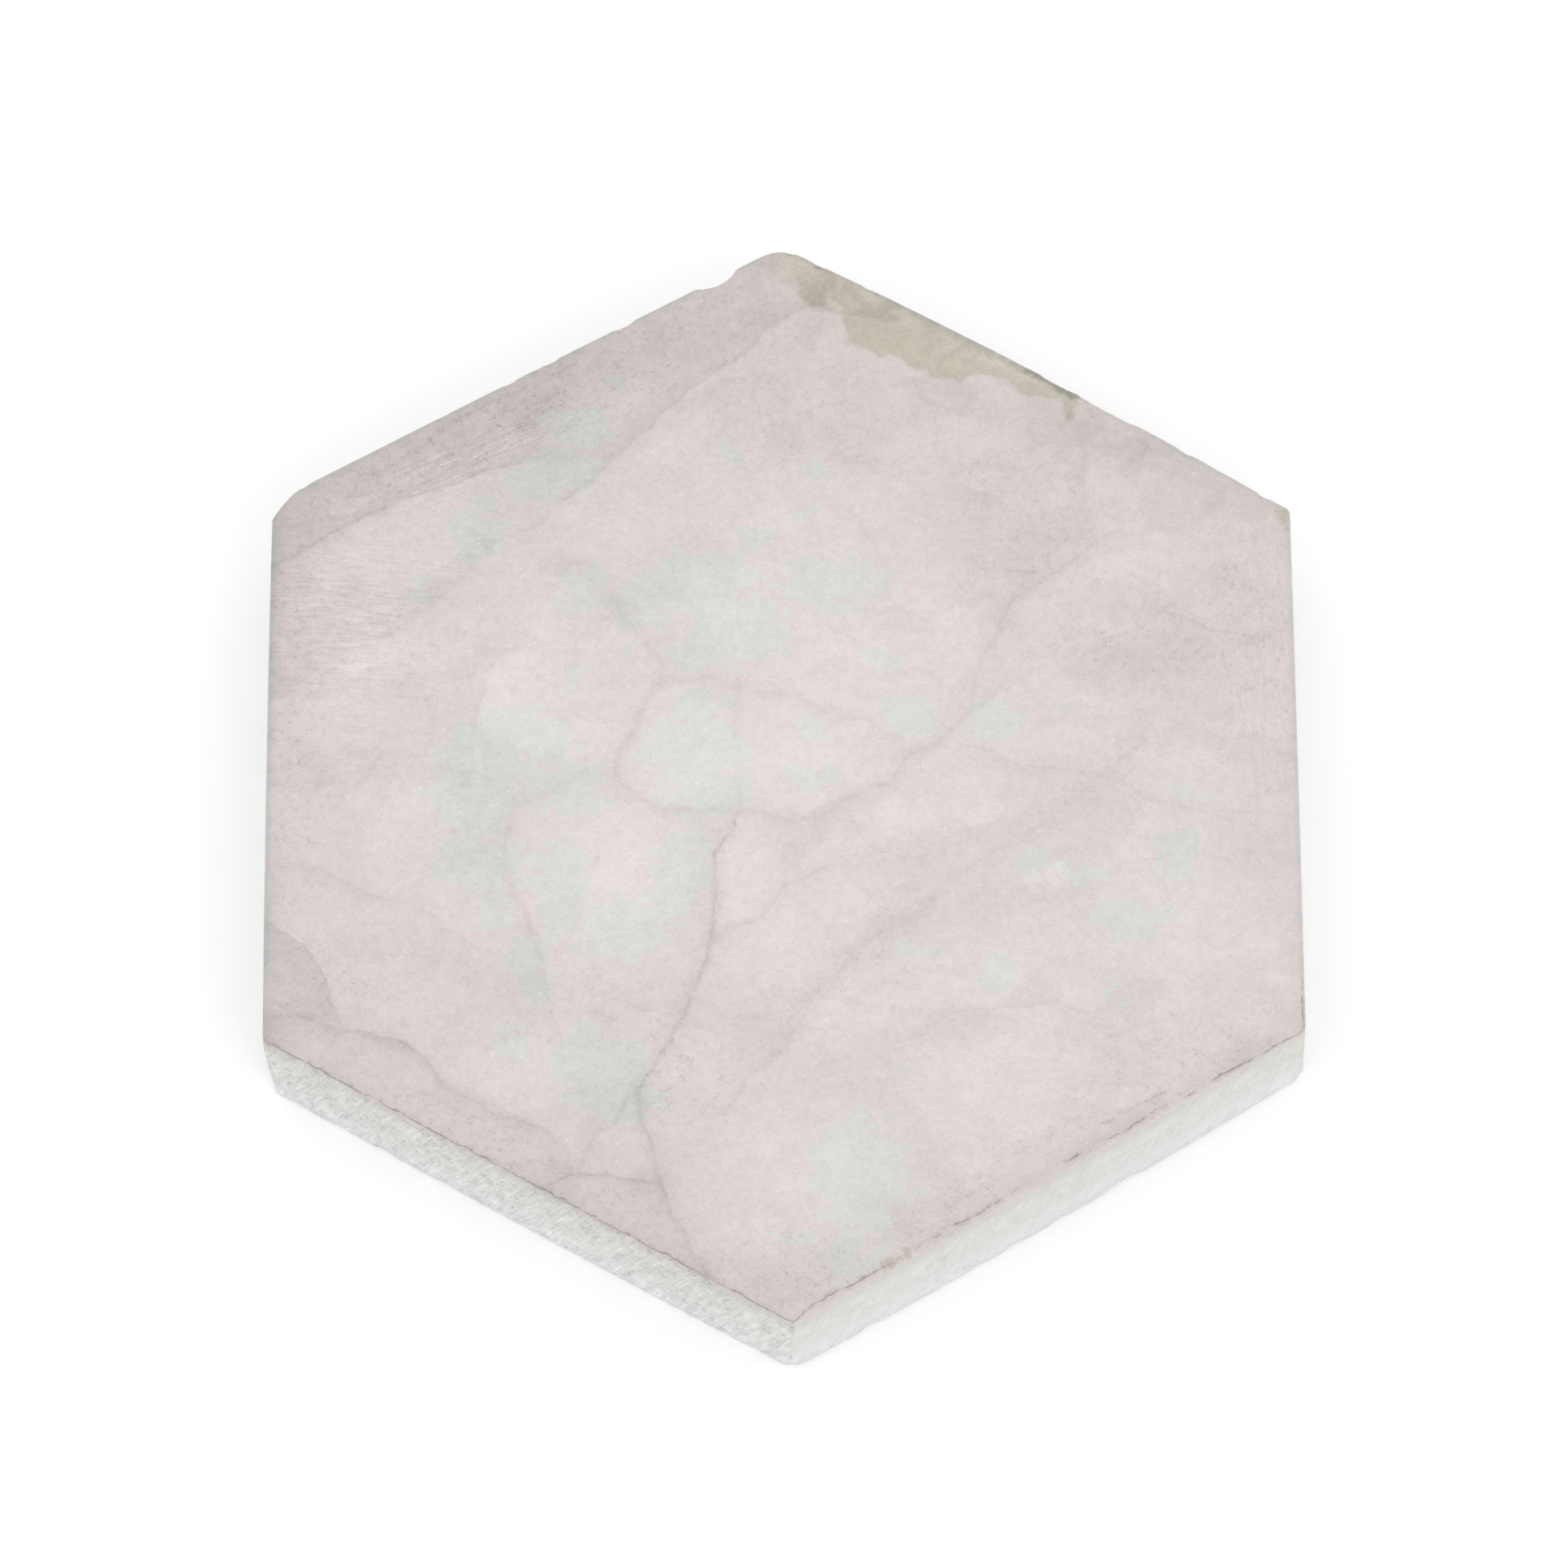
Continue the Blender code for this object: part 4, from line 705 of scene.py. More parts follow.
# ---------------------------------------------------------------- smooth noise for arrays
table = np.random.RandomState(41)
PERM = table.permutation(256)
PERM = np.concatenate([PERM, PERM])
ANGLES = table.uniform(0, 2 * math.pi, 256)
GRAD = np.stack([np.cos(ANGLES), np.sin(ANGLES)], 1)


def noise(x, y, seed=0):
    """Gradient noise, about -0.7 to 0.7, at unit spacing."""
    x = np.asarray(x, float) + 17.31 * seed
    y = np.asarray(y, float) - 9.77 * seed
    xi, yi = np.floor(x).astype(int), np.floor(y).astype(int)
    xf, yf = x - xi, y - yi
    u = xf * xf * xf * (xf * (xf * 6 - 15) + 10)
    v = yf * yf * yf * (yf * (yf * 6 - 15) + 10)

    def corner(dx, dy):
        g = GRAD[PERM[PERM[(xi + dx) & 255] + ((yi + dy) & 255)]]
        return g[..., 0] * (xf - dx) + g[..., 1] * (yf - dy)

    a = corner(0, 0) * (1 - u) + corner(1, 0) * u
    b = corner(0, 1) * (1 - u) + corner(1, 1) * u
    return a * (1 - v) + b * v


def fractal(x, y, octaves=3, seed=0):
    total, gain = 0.0, 1.0
    for k in range(octaves):
        total = total + noise(x * 2 ** k, y * 2 ** k, seed + k * 3.3) * gain
        gain *= 0.5
    return total


def smooth(x, low, high):
    t = np.clip((x - low) / (high - low), 0.0, 1.0)
    return t * t * (3 - 2 * t)


# ---------------------------------------------------------------- wear along the rims
random.seed(5)
side_of = owner
place = np.array([float(np.dot(ring[k] + middle - corner_points[owner[k] - 1],
                               (corner_points[owner[k]] - corner_points[owner[k] - 1]) / side_length[owner[k]]))
                  for k in range(N)])                    # mm along its own side
length_of = np.array([side_length[o] for o in owner])
to_corner = np.minimum(place, length_of - place)         # distance to the nearest true corner
away = smooth(to_corner, 0.6, 3.0)

# The south-east rim is rubbed round; the others are only eased.
rim_top = np.full(N, RIM)
rim_top += np.where(owner == 5, away * (0.42 + 0.30 * noise(along[:-1] / 4.0, 0 * along[:-1], 3)), 0)
rim_top += np.where(owner == 1, away * 0.12, 0)
rim_top += away * 0.10 * noise(along[:-1] / 1.7, 0 * along[:-1] + 4.0, 5)
rim_top = np.clip(rim_top, 0.2, 1.2)
rim_foot = FOOT_RIM + away * 0.10 * noise(along[:-1] / 1.3, 0 * along[:-1] + 9.0, 6)

# Nicks: (side, mm along it, half length, bite, how far down), from the top rim or the foot.
NICKS_PER_SIDE = {0: 12, 1: 16, 2: 12, 3: 18, 4: 34, 5: 16}
top_nicks, foot_nicks = [], []
for i in range(6):
    for _ in range(NICKS_PER_SIDE[i]):
        size = random.random() ** 2.2
        top_nicks.append((i, random.uniform(1.0, side_length[i] - 1.0), 0.22 + 0.70 * size,
                          0.04 + 0.13 * size * random.uniform(0.6, 1.0), 0.15 + 0.45 * size))
    for _ in range(9):
        size = random.random() ** 2.0
        foot_nicks.append((i, random.uniform(1.0, side_length[i] - 1.0), 0.3 + 1.1 * size,
                           0.06 + 0.22 * size, 0.2 + 0.8 * size))
# nicks that can be made out one by one
top_nicks += [
    (4, 6.6, 0.55, 0.20, 0.45), (4, 12.6, 0.75, 0.16, 0.9), (4, 15.3, 0.5, 0.18, 0.5),
    (4, 24.8, 0.45, 0.22, 0.35), (4, 33.4, 0.5, 0.18, 0.4), (4, 44.9, 0.6, 0.24, 0.5),
    (1, 21.0, 3.6, 0.22, 1.1), (1, 26.5, 2.2, 0.16, 0.8), (2, 18.0, 1.2, 0.22, 0.7),
    (2, 31.0, 0.9, 0.15, 0.5), (5, 1.4, 0.7, 0.2, 0.6),
]
foot_nicks += [(5, 36.5, 0.9, 0.35, 0.8), (5, 30.0, 0.5, 0.2, 0.4), (4, 20.2, 0.8, 0.2, 0.5)]


def nick_depth(nicks, down):
    """Inward move at every station for a row `down` mm from the rim the nicks start at."""
    depth = np.zeros(N)
    for i, at, half, bite, tall in nicks:
        if down > tall * 1.2:
            continue
        t = (place - at) / half
        inside = (owner == i) & (np.abs(t) < 1)
        shape = 1 - t ** 2 - (down / tall / 1.2) ** 2
        ragged = 1 + 0.5 * noise(along[:-1] / 0.35, down / 0.35 + 0 * along[:-1], 8)
        depth = np.maximum(depth, np.where(inside, bite * np.sqrt(np.clip(shape, 0, 1)) * ragged, 0))
    return depth


chip_at = CHIP["from_end"]
chip_deep = CHIP["bite"] * 2.2
chip_half = CHIP["long"] / 2 / math.sqrt(1 - ((chip_deep - CHIP["bite"]) / chip_deep) ** 2)


def chip_depth(down):
    a = (place - chip_at) / chip_half
    shape = 1 - a ** 2 - (down / CHIP["tall"]) ** 2
    depth = chip_deep * np.sqrt(np.clip(shape, 0, 1)) - (chip_deep - CHIP["bite"])
    ragged = 1 + 0.22 * noise(along[:-1] / 0.8, down / 0.9 + 0 * along[:-1], 11)
    return np.where(owner == CHIP["side"], np.clip(depth, 0, 9) * ragged, 0)


def break_corners(xy, z):
    """Moves points that lie beyond a broken-off foot back on to its face."""
    for b in BREAKS:
        i = b["corner"]
        out = heading(b["facing"])
        cut = max(CORNERS[i])
        tip = corner_points[i] - middle - out * cut * 0.25 + lean(corner_points[i] - out * cut * 0.25)
        beyond = (xy - tip) @ out
        # the face runs from `rise` up the corner to `reach` in under it
        limit = -b["reach"] * (1 - z / b["rise"])
        near = np.linalg.norm(xy - tip, axis=-1) < 9.0
        over = np.where(near & (z < b["rise"] + 0.6), beyond - limit, -1)
        over = np.clip(over, 0, None)
        xy = xy - out * over[..., None]
    return xy


def side_relief(u, z, side):
    """Outward move that the saw left, in mm."""
    slant = {4: 0.32, 5: -0.20, 0: 0.15, 1: -0.35, 2: 0.30, 3: -0.25}[side]
    depth = {4: 1.0, 5: 0.45, 0: 0.8, 1: 0.9, 2: 0.9, 3: 0.8}[side]
    s = u - z * slant
    ridges = noise(s / 0.95, z / 9.0, 20 + side) * 0.055 + noise(s / 2.6, z / 7.0, 30 + side) * 0.05
    grain = fractal(u / 1.1, z / 1.1, 3, 40 + side) * 0.035
    broad = noise(u / 11.0, z / 9.0, 50 + side) * 0.06
    return (ridges * depth + grain + broad) * 0.8


# ---------------------------------------------------------------- rows from top rim to foot rim
SIDE_ROWS = 22
profile = []                 # (xy, z, down) arrays, one entry a row; row 0 is on the top face
relief_cols = np.zeros(N)


def edge_point(z, inward):
    """Outline at height z, moved in by `inward`."""
    share = 1 - z / THICKNESS
    lean_here = leans * share[:, None]
    return ring + lean_here - outward * inward[:, None]


def relief_at(z):
    move = np.zeros(N)
    for i in range(6):
        m = owner == i
        move[m] = side_relief(place[m], z[m], i)
    fade = smooth(THICKNESS - z, 0.1, 1.2) * smooth(z, 0.0, 0.9) * smooth(to_corner, 0.0, 0.8)
    return move * fade


rows_xy, rows_z, rows_kind = [], [], []
for angle in (0, 18, 36, 54, 72, 90):
    a = math.radians(angle)
    z = THICKNESS - rim_top * (1 - math.cos(a))
    down = THICKNESS - z
    inward = rim_top * (1 - math.sin(a)) + nick_depth(top_nicks, float(down.mean())) + chip_depth(down)
    rows_xy.append(edge_point(z, inward))
    rows_z.append(z)
    rows_kind.append("rim")
for k in range(1, SIDE_ROWS):
    t = k / SIDE_ROWS
    t = t + 0.05 * math.sin(2 * math.pi * t) * -1       # closer rows near both rims
    z = (THICKNESS - rim_top) * (1 - t) + rim_foot * t
    down = THICKNESS - z
    inward = (nick_depth(top_nicks, float(down.mean())) + nick_depth(foot_nicks, float(z.mean()))
              + chip_depth(down) - relief_at(z))
    rows_xy.append(edge_point(z, inward))
    rows_z.append(z)
    rows_kind.append("side")
for angle in (90, 60, 30, 0):
    a = math.radians(angle)
    z = rim_foot * (1 - math.cos(a))
    inward = rim_foot * (1 - math.sin(a)) + nick_depth(foot_nicks, float(z.mean()))

    rows_xy.append(edge_point(z, inward))
    rows_z.append(z)
    rows_kind.append("foot")


def catmull(points, step):
    """Smooth curve through the given points, sampled about every `step` mm."""
    p = np.array(points, float)
    p = np.vstack([2 * p[0] - p[1], p, 2 * p[-1] - p[-2]])
    out = []
    for k in range(1, len(p) - 2):
        a, b, c, d = p[k - 1], p[k], p[k + 1], p[k + 2]
        n = max(1, int(round(np.linalg.norm(c - b) / step)))
        for j in range(n):
            t = j / n
            out.append(0.5 * ((2 * b) + (c - a) * t + (2 * a - 5 * b + 4 * c - d) * t * t
                              + (3 * b - a - 3 * c + d) * t ** 3))
    out.append(p[-2])
    return np.array(out)


# Every vein as a fine wavering line with its own strength along it.
lines = {}
for number, (name, vein) in enumerate(VEINS.items()):
    c = catmull(vein["route"], VEIN_STEP)
    s = np.concatenate([[0], np.cumsum(np.linalg.norm(np.diff(c, axis=0), axis=1))])
    d = np.gradient(c, axis=0)
    d /= np.linalg.norm(d, axis=1)[:, None]
    wander = noise(s / 1.6, 0 * s, 60 + number) * 0.22 + noise(s / 0.6, 0 * s, 70 + number) * 0.12
    ends = smooth(np.minimum(s, s[-1] - s), 0.0, 1.5)
    c = c + np.stack([-d[:, 1], d[:, 0]], 1) * (wander * ends)[:, None]
    f0, f1 = vein["fade"]
    fade = np.ones_like(s)
    if f0:
        fade = fade * smooth(s, 0, f0 * 1.3)
    if f1:
        fade = fade * smooth(s[-1] - s, 0, f1 * 1.3)
    beat = 1 + 0.75 * noise(s / 3.1, 0 * s, 80 + number) + 0.35 * noise(s / 0.9, 0 * s, 90 + number)
    lines[name] = {**vein, "c": c, "s": s, "fade": fade, "beat": np.clip(beat, 0.25, 1.8)}


def near_line(x, y, line, reach):
    """For points within `reach` of a line: index, distance, side (+1 left), place along it, run past its end."""
    c = line["c"]
    low, high = c.min(0) - reach, c.max(0) + reach
    index = np.flatnonzero((x > low[0]) & (x < high[0]) & (y > low[1]) & (y < high[1]))
    px, py = x[index], y[index]
    best = np.full(len(index), 1e9)
    side = np.ones(len(index))
    at = np.zeros(len(index))
    past = np.zeros(len(index))
    last = len(c) - 2
    for k in range(len(c) - 1):
        a, b = c[k], c[k + 1]
        e = b - a
        ll = float(e @ e) + 1e-12
        t = ((px - a[0]) * e[0] + (py - a[1]) * e[1]) / ll
        tc = np.clip(t, 0, 1)
        dx, dy = px - a[0] - e[0] * tc, py - a[1] - e[1] * tc
        d2 = dx * dx + dy * dy
        m = d2 < best
        best[m] = d2[m]
        side[m] = np.sign(e[0] * (py - a[1]) - e[1] * (px - a[0]))[m]
        at[m] = (k + tc)[m]
        over = np.zeros(len(index))
        if k == 0:
            over = np.where(t < 0, -t * math.sqrt(ll), over)
        if k == last:
            over = np.where(t > 1, (t - 1) * math.sqrt(ll), over)
        past[m] = over[m]
    keep = best < reach * reach
    return index[keep], np.sqrt(best[keep]), side[keep], at[keep], past[keep]


def inside(x, y, polygon):
    """Even-odd test for arrays of points."""
    result = np.zeros(len(x), bool)
    p = np.asarray(polygon)
    for k in range(len(p)):
        (x0, y0), (x1, y1) = p[k - 1], p[k]
        if y0 == y1:
            continue
        m = (y0 > y) != (y1 > y)
        result ^= m & (x < (x1 - x0) * (y - y0) / (y1 - y0) + x0)
    return result


def edge_distances(x, y):
    """Distance in from each of the six sawn sides, at the top."""
    d = []
    for i in range(6):
        n = normal_of(i)
        m = (corner_points[i - 1] + corner_points[i]) / 2 - middle
        d.append(-((x - m[0]) * n[0] + (y - m[1]) * n[1]) + SIDES[i]["bow"] * 0.6)
    return np.array(d)


def blob(x, y, cx, cy, rx, ry, turn, power=2.6):
    a = math.radians(turn)
    dx, dy = x - cx, y - cy
    u = (dx * math.cos(a) + dy * math.sin(a)) / rx
    v = (-dx * math.sin(a) + dy * math.cos(a)) / ry
    r = np.sqrt(u * u + v * v)
    return np.exp(-0.7 * r ** power)


def border(parts):
    """Closed outline from vein names ('-name' runs it backwards) and loose points."""
    out = []
    for part in parts:
        if isinstance(part, str):
            c = lines[part.lstrip("-")]["c"]
            out += list(c[::-1] if part.startswith("-") else c)
        else:
            out.append(np.array(part, float))
    return np.array(out)


def path_distance(x, y, points, reach):
    """Distance to a run of straight pieces, for points within `reach` of it (the rest get 99)."""
    p = np.asarray(points, float)
    low, high = p.min(0) - reach, p.max(0) + reach
    index = np.flatnonzero((x > low[0]) & (x < high[0]) & (y > low[1]) & (y < high[1]))
    d2 = np.full(len(index), 1e9)
    for a, b in zip(p[:-1], p[1:]):
        e = b - a
        t = np.clip(((x[index] - a[0]) * e[0] + (y[index] - a[1]) * e[1]) / (float(e @ e) + 1e-12), 0, 1)
        d2 = np.minimum(d2, (x[index] - a[0] - e[0] * t) ** 2 + (y[index] - a[1] - e[1] * t) ** 2)
    result = np.full(len(x), 99.0)
    result[index] = np.sqrt(d2)
    return result


def plate(x, y, polygon, soft):
    """1 well inside a closed outline, 0 well outside, changing over `soft` mm at its border."""
    p = np.asarray(polygon, float)
    low, high = p.min(0) - soft, p.max(0) + soft
    index = np.flatnonzero((x > low[0]) & (x < high[0]) & (y > low[1]) & (y < high[1]))
    px, py = x[index], y[index]
    d2 = np.full(len(index), 1e9)
    for k in range(len(p)):
        a, e = p[k - 1], p[k] - p[k - 1]
        t = np.clip(((px - a[0]) * e[0] + (py - a[1]) * e[1]) / (float(e @ e) + 1e-12), 0, 1)
        d2 = np.minimum(d2, (px - a[0] - e[0] * t) ** 2 + (py - a[1] - e[1] * t) ** 2)
    d = np.sqrt(d2) * np.where(inside(px, py, p), 1, -1)
    result = np.zeros(len(x))
    result[index] = smooth(d, -soft / 2, soft / 2)
    return result


def tone_parts(x, y, edges, near):
    """The shades laid over each other in the stone: (name, level, share at every point)."""
    bend = noise(x / 3.5, y / 3.5, 1), noise(x / 1.2, y / 1.2, 2), noise(x / 3.5, y / 3.5, 3), noise(x / 1.2, y / 1.2, 4)
    soft_x, soft_y = x + 1.1 * bend[0] + 0.4 * bend[1], y + 1.1 * bend[2] + 0.4 * bend[3]
    firm_x, firm_y = x + 0.7 * bend[0] + 0.75 * bend[1], y + 0.7 * bend[2] + 0.75 * bend[3]
    for name, line in lines.items():
        index, d, side, at, past, fade = near[name]
        fall = fade * np.exp(-(d / line["reach"]) ** 1.3) * np.exp(-(past / 1.0) ** 2)
        for label, here in (("left", side > 0), ("right", side <= 0)):
            if line[label]:
                share = np.zeros(len(x))
                share[index] = fall * here
                yield f"{name}.{label}", line[label], share
    for number, (level, soft, parts) in enumerate(CELLS):
        yield f"cell.{number}", level, inside(x, y, border(parts)).astype(float)
    for name, (level, outline) in PLATES.items():
        yield f"plate.{name}", level * PLATE_GAIN, plate(firm_x, firm_y, outline, PLATE_SOFT.get(name, 0.40))
    for number, (cx, cy, rx, ry, turn, level) in enumerate(BLOBS):
        yield f"blob.{number}", level, blob(soft_x, soft_y, cx, cy, rx, ry, turn)
    for i, (level, reach) in enumerate(EDGE_TONE):
        yield f"edge.{i}", level, np.exp(-np.clip(edges[i], 0, None) / reach)


def marks(x, y):
    """Everything that is painted in the stone at points (x, y) of the top."""
    n = len(x)
    edges = edge_distances(x, y)
    x, y = x - DRAWN[0], y - DRAWN[1]
    tone = TONE_BASE + TONE_BROAD * fractal(x / 4.6, y / 4.6, 3, 5) + TONE_FINE * fractal(x / 1.9, y / 1.9, 2, 6)
    vein_q = np.full(n, 9.0)
    vein_a = np.zeros(n)
    vein_b = np.zeros(n)
    warp_x = x + 1.1 * noise(x / 3.5, y / 3.5, 1) + 0.4 * noise(x / 1.2, y / 1.2, 2)
    warp_y = y + 1.1 * noise(x / 3.5, y / 3.5, 3) + 0.4 * noise(x / 1.2, y / 1.2, 4)
    near = {}
    for name, line in lines.items():
        reach = max(1.3, 2.6 * line["reach"] * (1 if (line["left"] or line["right"]) else 0))
        index, d, side, at, past = near_line(x, y, line, reach)
        k = np.minimum(at.astype(int), len(line["s"]) - 2)
        f = at - k
        fade = line["fade"][k] * (1 - f) + line["fade"][k + 1] * f
        beat = line["beat"][k] * (1 - f) + line["beat"][k + 1] * f
        off_end = np.exp(-(past / 0.35) ** 2)
        wide = line["wide"] * np.sqrt(beat)
        q = d / wide
        closer = q < vein_q[index]
        vein_q[index[closer]] = q[closer]
        vein_a[index[closer]] = (line["line"] * fade * beat * off_end)[closer]
        vein_b[index[closer]] = DUSKY.get(name, 0.2)
        near[name] = (index, d, side, at, past, fade)
    for name, level, share in tone_parts(x, y, edges, near):
        tone += level * share
    tint = np.zeros(n)
    for cx, cy, rx, ry, turn, amount in GREEN:
        tint = np.maximum(tint, amount * blob(warp_x, warp_y, cx, cy, rx, ry, turn, 3.0))
    broken_up = 0.42 * noise(x / 1.9, y / 1.9, 15) + 0.30 * noise(x / 0.85, y / 0.85, 16)
    tint = tint + broken_up * smooth(tint, 0.10, 0.35)
    frayed_x = x + 0.35 * noise(x / 1.1, y / 1.1, 7) + 0.22 * noise(x / 0.5, y / 0.5, 8)
    frayed_y = y + 0.35 * noise(x / 1.1, y / 1.1, 9) + 0.22 * noise(x / 0.5, y / 0.5, 10)
    stain = plate(frayed_x, frayed_y, border(STAIN), 1.1)
    bend_ne = noise(x / 2.2, y / 2.2, 14)
    for cx, cy, r, amount in STAIN_BITS:
        stain = np.maximum(stain, amount * np.exp(-0.7 * (((frayed_x - cx) ** 2 + (frayed_y - cy) ** 2) / r ** 2) ** 1.5))
    dabs = {kind: np.zeros(n) for kind in ("red", "grey", "pale", "olive")}
    for kind, radius, points in STAIN_DABS:
        d = path_distance(frayed_x, frayed_y, points, 3 * radius)
        dabs[kind] = np.maximum(dabs[kind], smooth(radius * 1.5 - d, 0.0, radius))
    speckle = np.zeros(n)
    for cx, cy, rx, ry, turn, amount in SPECKLED:
        speckle = np.maximum(speckle, amount * blob(warp_x, warp_y, cx, cy, rx, ry, turn, 3.0))
    # band at the far rims: in part painted shade of the rim bevels that turn away from the light
    fringe = np.zeros(n)
    for side, at, half, reach, amount in FRINGE:
        a, b = corner_points[side - 1] - middle - DRAWN, corner_points[side] - middle - DRAWN
        e = (b - a) / side_length[side]
        t = ((x - a[0]) * e[0] + (y - a[1]) * e[1] - at) / half
        wide = reach * (1 + 0.9 * noise(t * half / 1.6, 0 * t, 12) + 0.5 * noise(t * half / 0.5, 0 * t, 13))
        here = amount * smooth(1 - np.abs(t), 0, 0.3) * smooth(wide * 1.3 - edges[side], 0, wide * 0.9 + 0.05)
        fringe = np.maximum(fringe, here)
    # rubbed areas: how much, and the place along and across the strokes
    scratch, stroke_u, stroke_v = np.zeros(n), x.copy(), y.copy()
    for grain_turn, cx, cy, rx, ry, turn, amount in SCRATCHED:
        here = amount * blob(warp_x, warp_y, cx, cy, rx, ry, turn)
        more = here > scratch
        a = math.radians(grain_turn)
        stroke_u[more] = (x * math.cos(a) + y * math.sin(a))[more] + cx
        stroke_v[more] = (-x * math.sin(a) + y * math.cos(a))[more] + cy
        scratch = np.maximum(scratch, here)
    spots = np.zeros(n)
    for cx, cy, r, amount in SPOTS:
        spots = np.maximum(spots, amount * np.exp(-(((x - cx) ** 2 + (y - cy) ** 2) / r ** 2)))
    return dict(tone=tone, vein_q=vein_q, vein_a=vein_a, vein_b=vein_b, tint=tint, stain=stain, spots=spots,
                scratch=scratch, stroke_u=stroke_u, stroke_v=stroke_v, speckle=speckle, fringe=fringe,
                stain_depth=edges[1] + 0.5 * bend_ne,
                **{"stain_" + kind: share for kind, share in dabs.items()})


# ================================================================ the mesh
verts = []                   # blocks of (n, 3), mm
faces = []                   # vertex index triples and quads
face_part = []               # "top", "under" or the side's number
count = 0


def add_block(xyz):
    global count
    verts.append(np.asarray(xyz, float))
    first = count
    count += len(xyz)
    return first


rows = []
for xy, z in zip(rows_xy, rows_z):
    xy = break_corners(xy, z)
    rows.append(add_block(np.column_stack([xy, z])))
wall_rows = len(rows)
wall_xy = [v[:, :2].copy() for v in verts]
wall_z = [v[:, 2].copy() for v in verts]

# one more ring on the top keeps the rim's shading off the flat
def crosses_itself(loop):
    found = delaunay_2d_cdt([Vector((float(p[0]), float(p[1]))) for p in loop], [], [list(range(len(loop)))], 1, 1e-7)
    return len(found[0]) != len(loop)


def drawn_in(loop, gap):
    """The loop moved in by `gap`, or by less where that would make it cross itself."""
    while gap > 0.03:
        moved = loop - outward * gap
        if not crosses_itself(moved):
            return moved
        gap *= 0.8
    raise RuntimeError("a rim can't be moved in")


inner_xy = drawn_in(wall_xy[0], 0.20)
under_xy = drawn_in(wall_xy[-1], 0.25)


def spread(poly, step, keep_off, extra=None, extra_gap=0.0):
    """Hexagonal lattice inside a closed outline, kept off the outline and off extra points."""
    low, high = poly.min(0), poly.max(0)
    ys = np.arange(low[1], high[1], step * math.sqrt(3) / 2)
    pts = []
    for j, y in enumerate(ys):
        xs = np.arange(low[0] + (step / 2 if j % 2 else 0), high[0], step)
        pts.append(np.column_stack([xs, np.full(len(xs), y)]))
    pts = np.vstack(pts)
    pts = pts + np.column_stack([noise(pts[:, 0] * 1.3, pts[:, 1] * 1.3, 201), noise(pts[:, 0] * 1.3, pts[:, 1] * 1.3, 202)]) * step * 0.25
    pts = pts[inside(pts[:, 0], pts[:, 1], poly)]
    a, b = poly, np.roll(poly, -1, 0)
    keep = np.ones(len(pts), bool)
    for chunk in range(0, len(pts), 4000):
        q = pts[chunk:chunk + 4000]
        d2 = np.min((q[:, None, 0] - a[None, :, 0]) ** 2 + (q[:, None, 1] - a[None, :, 1]) ** 2, axis=1)
        keep[chunk:chunk + 4000] = d2 > keep_off ** 2
    pts = pts[keep]
    if extra is not None and len(extra):
        cell = extra_gap
        taken = {}
        for e in extra.tolist():
            taken.setdefault((int(e[0] // cell), int(e[1] // cell)), []).append(e)
        good = []
        for k, p in enumerate(pts.tolist()):
            cx, cy = int(p[0] // cell), int(p[1] // cell)
            ok = True
            for ix in (cx - 1, cx, cx + 1):
                for iy in (cy - 1, cy, cy + 1):
                    for e in taken.get((ix, iy), ()):
                        if (e[0] - p[0]) ** 2 + (e[1] - p[1]) ** 2 < extra_gap ** 2:
                            ok = False
                            break
                    if not ok:
                        break
                if not ok:
                    break
            if ok:
                good.append(k)
        pts = pts[good]
    return pts


def vein_points(poly):
    """Pairs of points just either side of every vein, thinned where veins meet."""
    pairs = []
    for line in lines.values():
        c = line["c"] + DRAWN
        d = np.gradient(c, axis=0)
        d /= np.linalg.norm(d, axis=1)[:, None]
        n = np.stack([-d[:, 1], d[:, 0]], 1)
        pairs += [c + n * 0.06, c - n * 0.06]
    pts = np.vstack(pairs)
    pts = pts[inside(pts[:, 0], pts[:, 1], poly)]
    near = np.min((pts[:, None, 0] - poly[None, :, 0]) ** 2 + (pts[:, None, 1] - poly[None, :, 1]) ** 2, axis=1)
    pts = pts[near > 0.22 ** 2]
    out, taken, cell = [], {}, 0.09
    for p in pts.tolist():
        cx, cy = int(p[0] // cell), int(p[1] // cell)
        if any((e[0] - p[0]) ** 2 + (e[1] - p[1]) ** 2 < cell * cell
               for ix in (cx - 1, cx, cx + 1) for iy in (cy - 1, cy, cy + 1)
               for e in taken.get((ix, iy), ())):
            continue
        taken.setdefault((cx, cy), []).append(p)
        out.append(p)
    return np.array(out)


along_veins = vein_points(inner_xy)
lattice = spread(inner_xy, TOP_STEP, 0.34, along_veins, 0.24)
top_xy = np.vstack([inner_xy, along_veins, lattice])
top_first = add_block(np.column_stack([top_xy, np.full(len(top_xy), THICKNESS)]))
under_pts = spread(under_xy, UNDER_STEP, 0.9)
under_all = np.vstack([under_xy, under_pts])
under_first = add_block(np.column_stack([under_all, np.zeros(len(under_all))]))


def triangulate(xy, ring_size):
    coords = [Vector((float(p[0]), float(p[1]))) for p in xy]
    loop = [list(range(ring_size))]
    found = delaunay_2d_cdt(coords, [], loop, 1, 1e-7)
    out_verts, out_faces, origin = found[0], found[2], found[3]
    if len(out_verts) != len(xy):
        raise RuntimeError(f"the top's triangles added {len(out_verts) - len(xy)} points")
    index = [o[0] for o in origin]
    return [[index[v] for v in f] for f in out_faces]


def upward(tri, xy):
    a, b, c = (xy[t] for t in tri)
    return (b[0] - a[0]) * (c[1] - a[1]) - (b[1] - a[1]) * (c[0] - a[0]) > 0


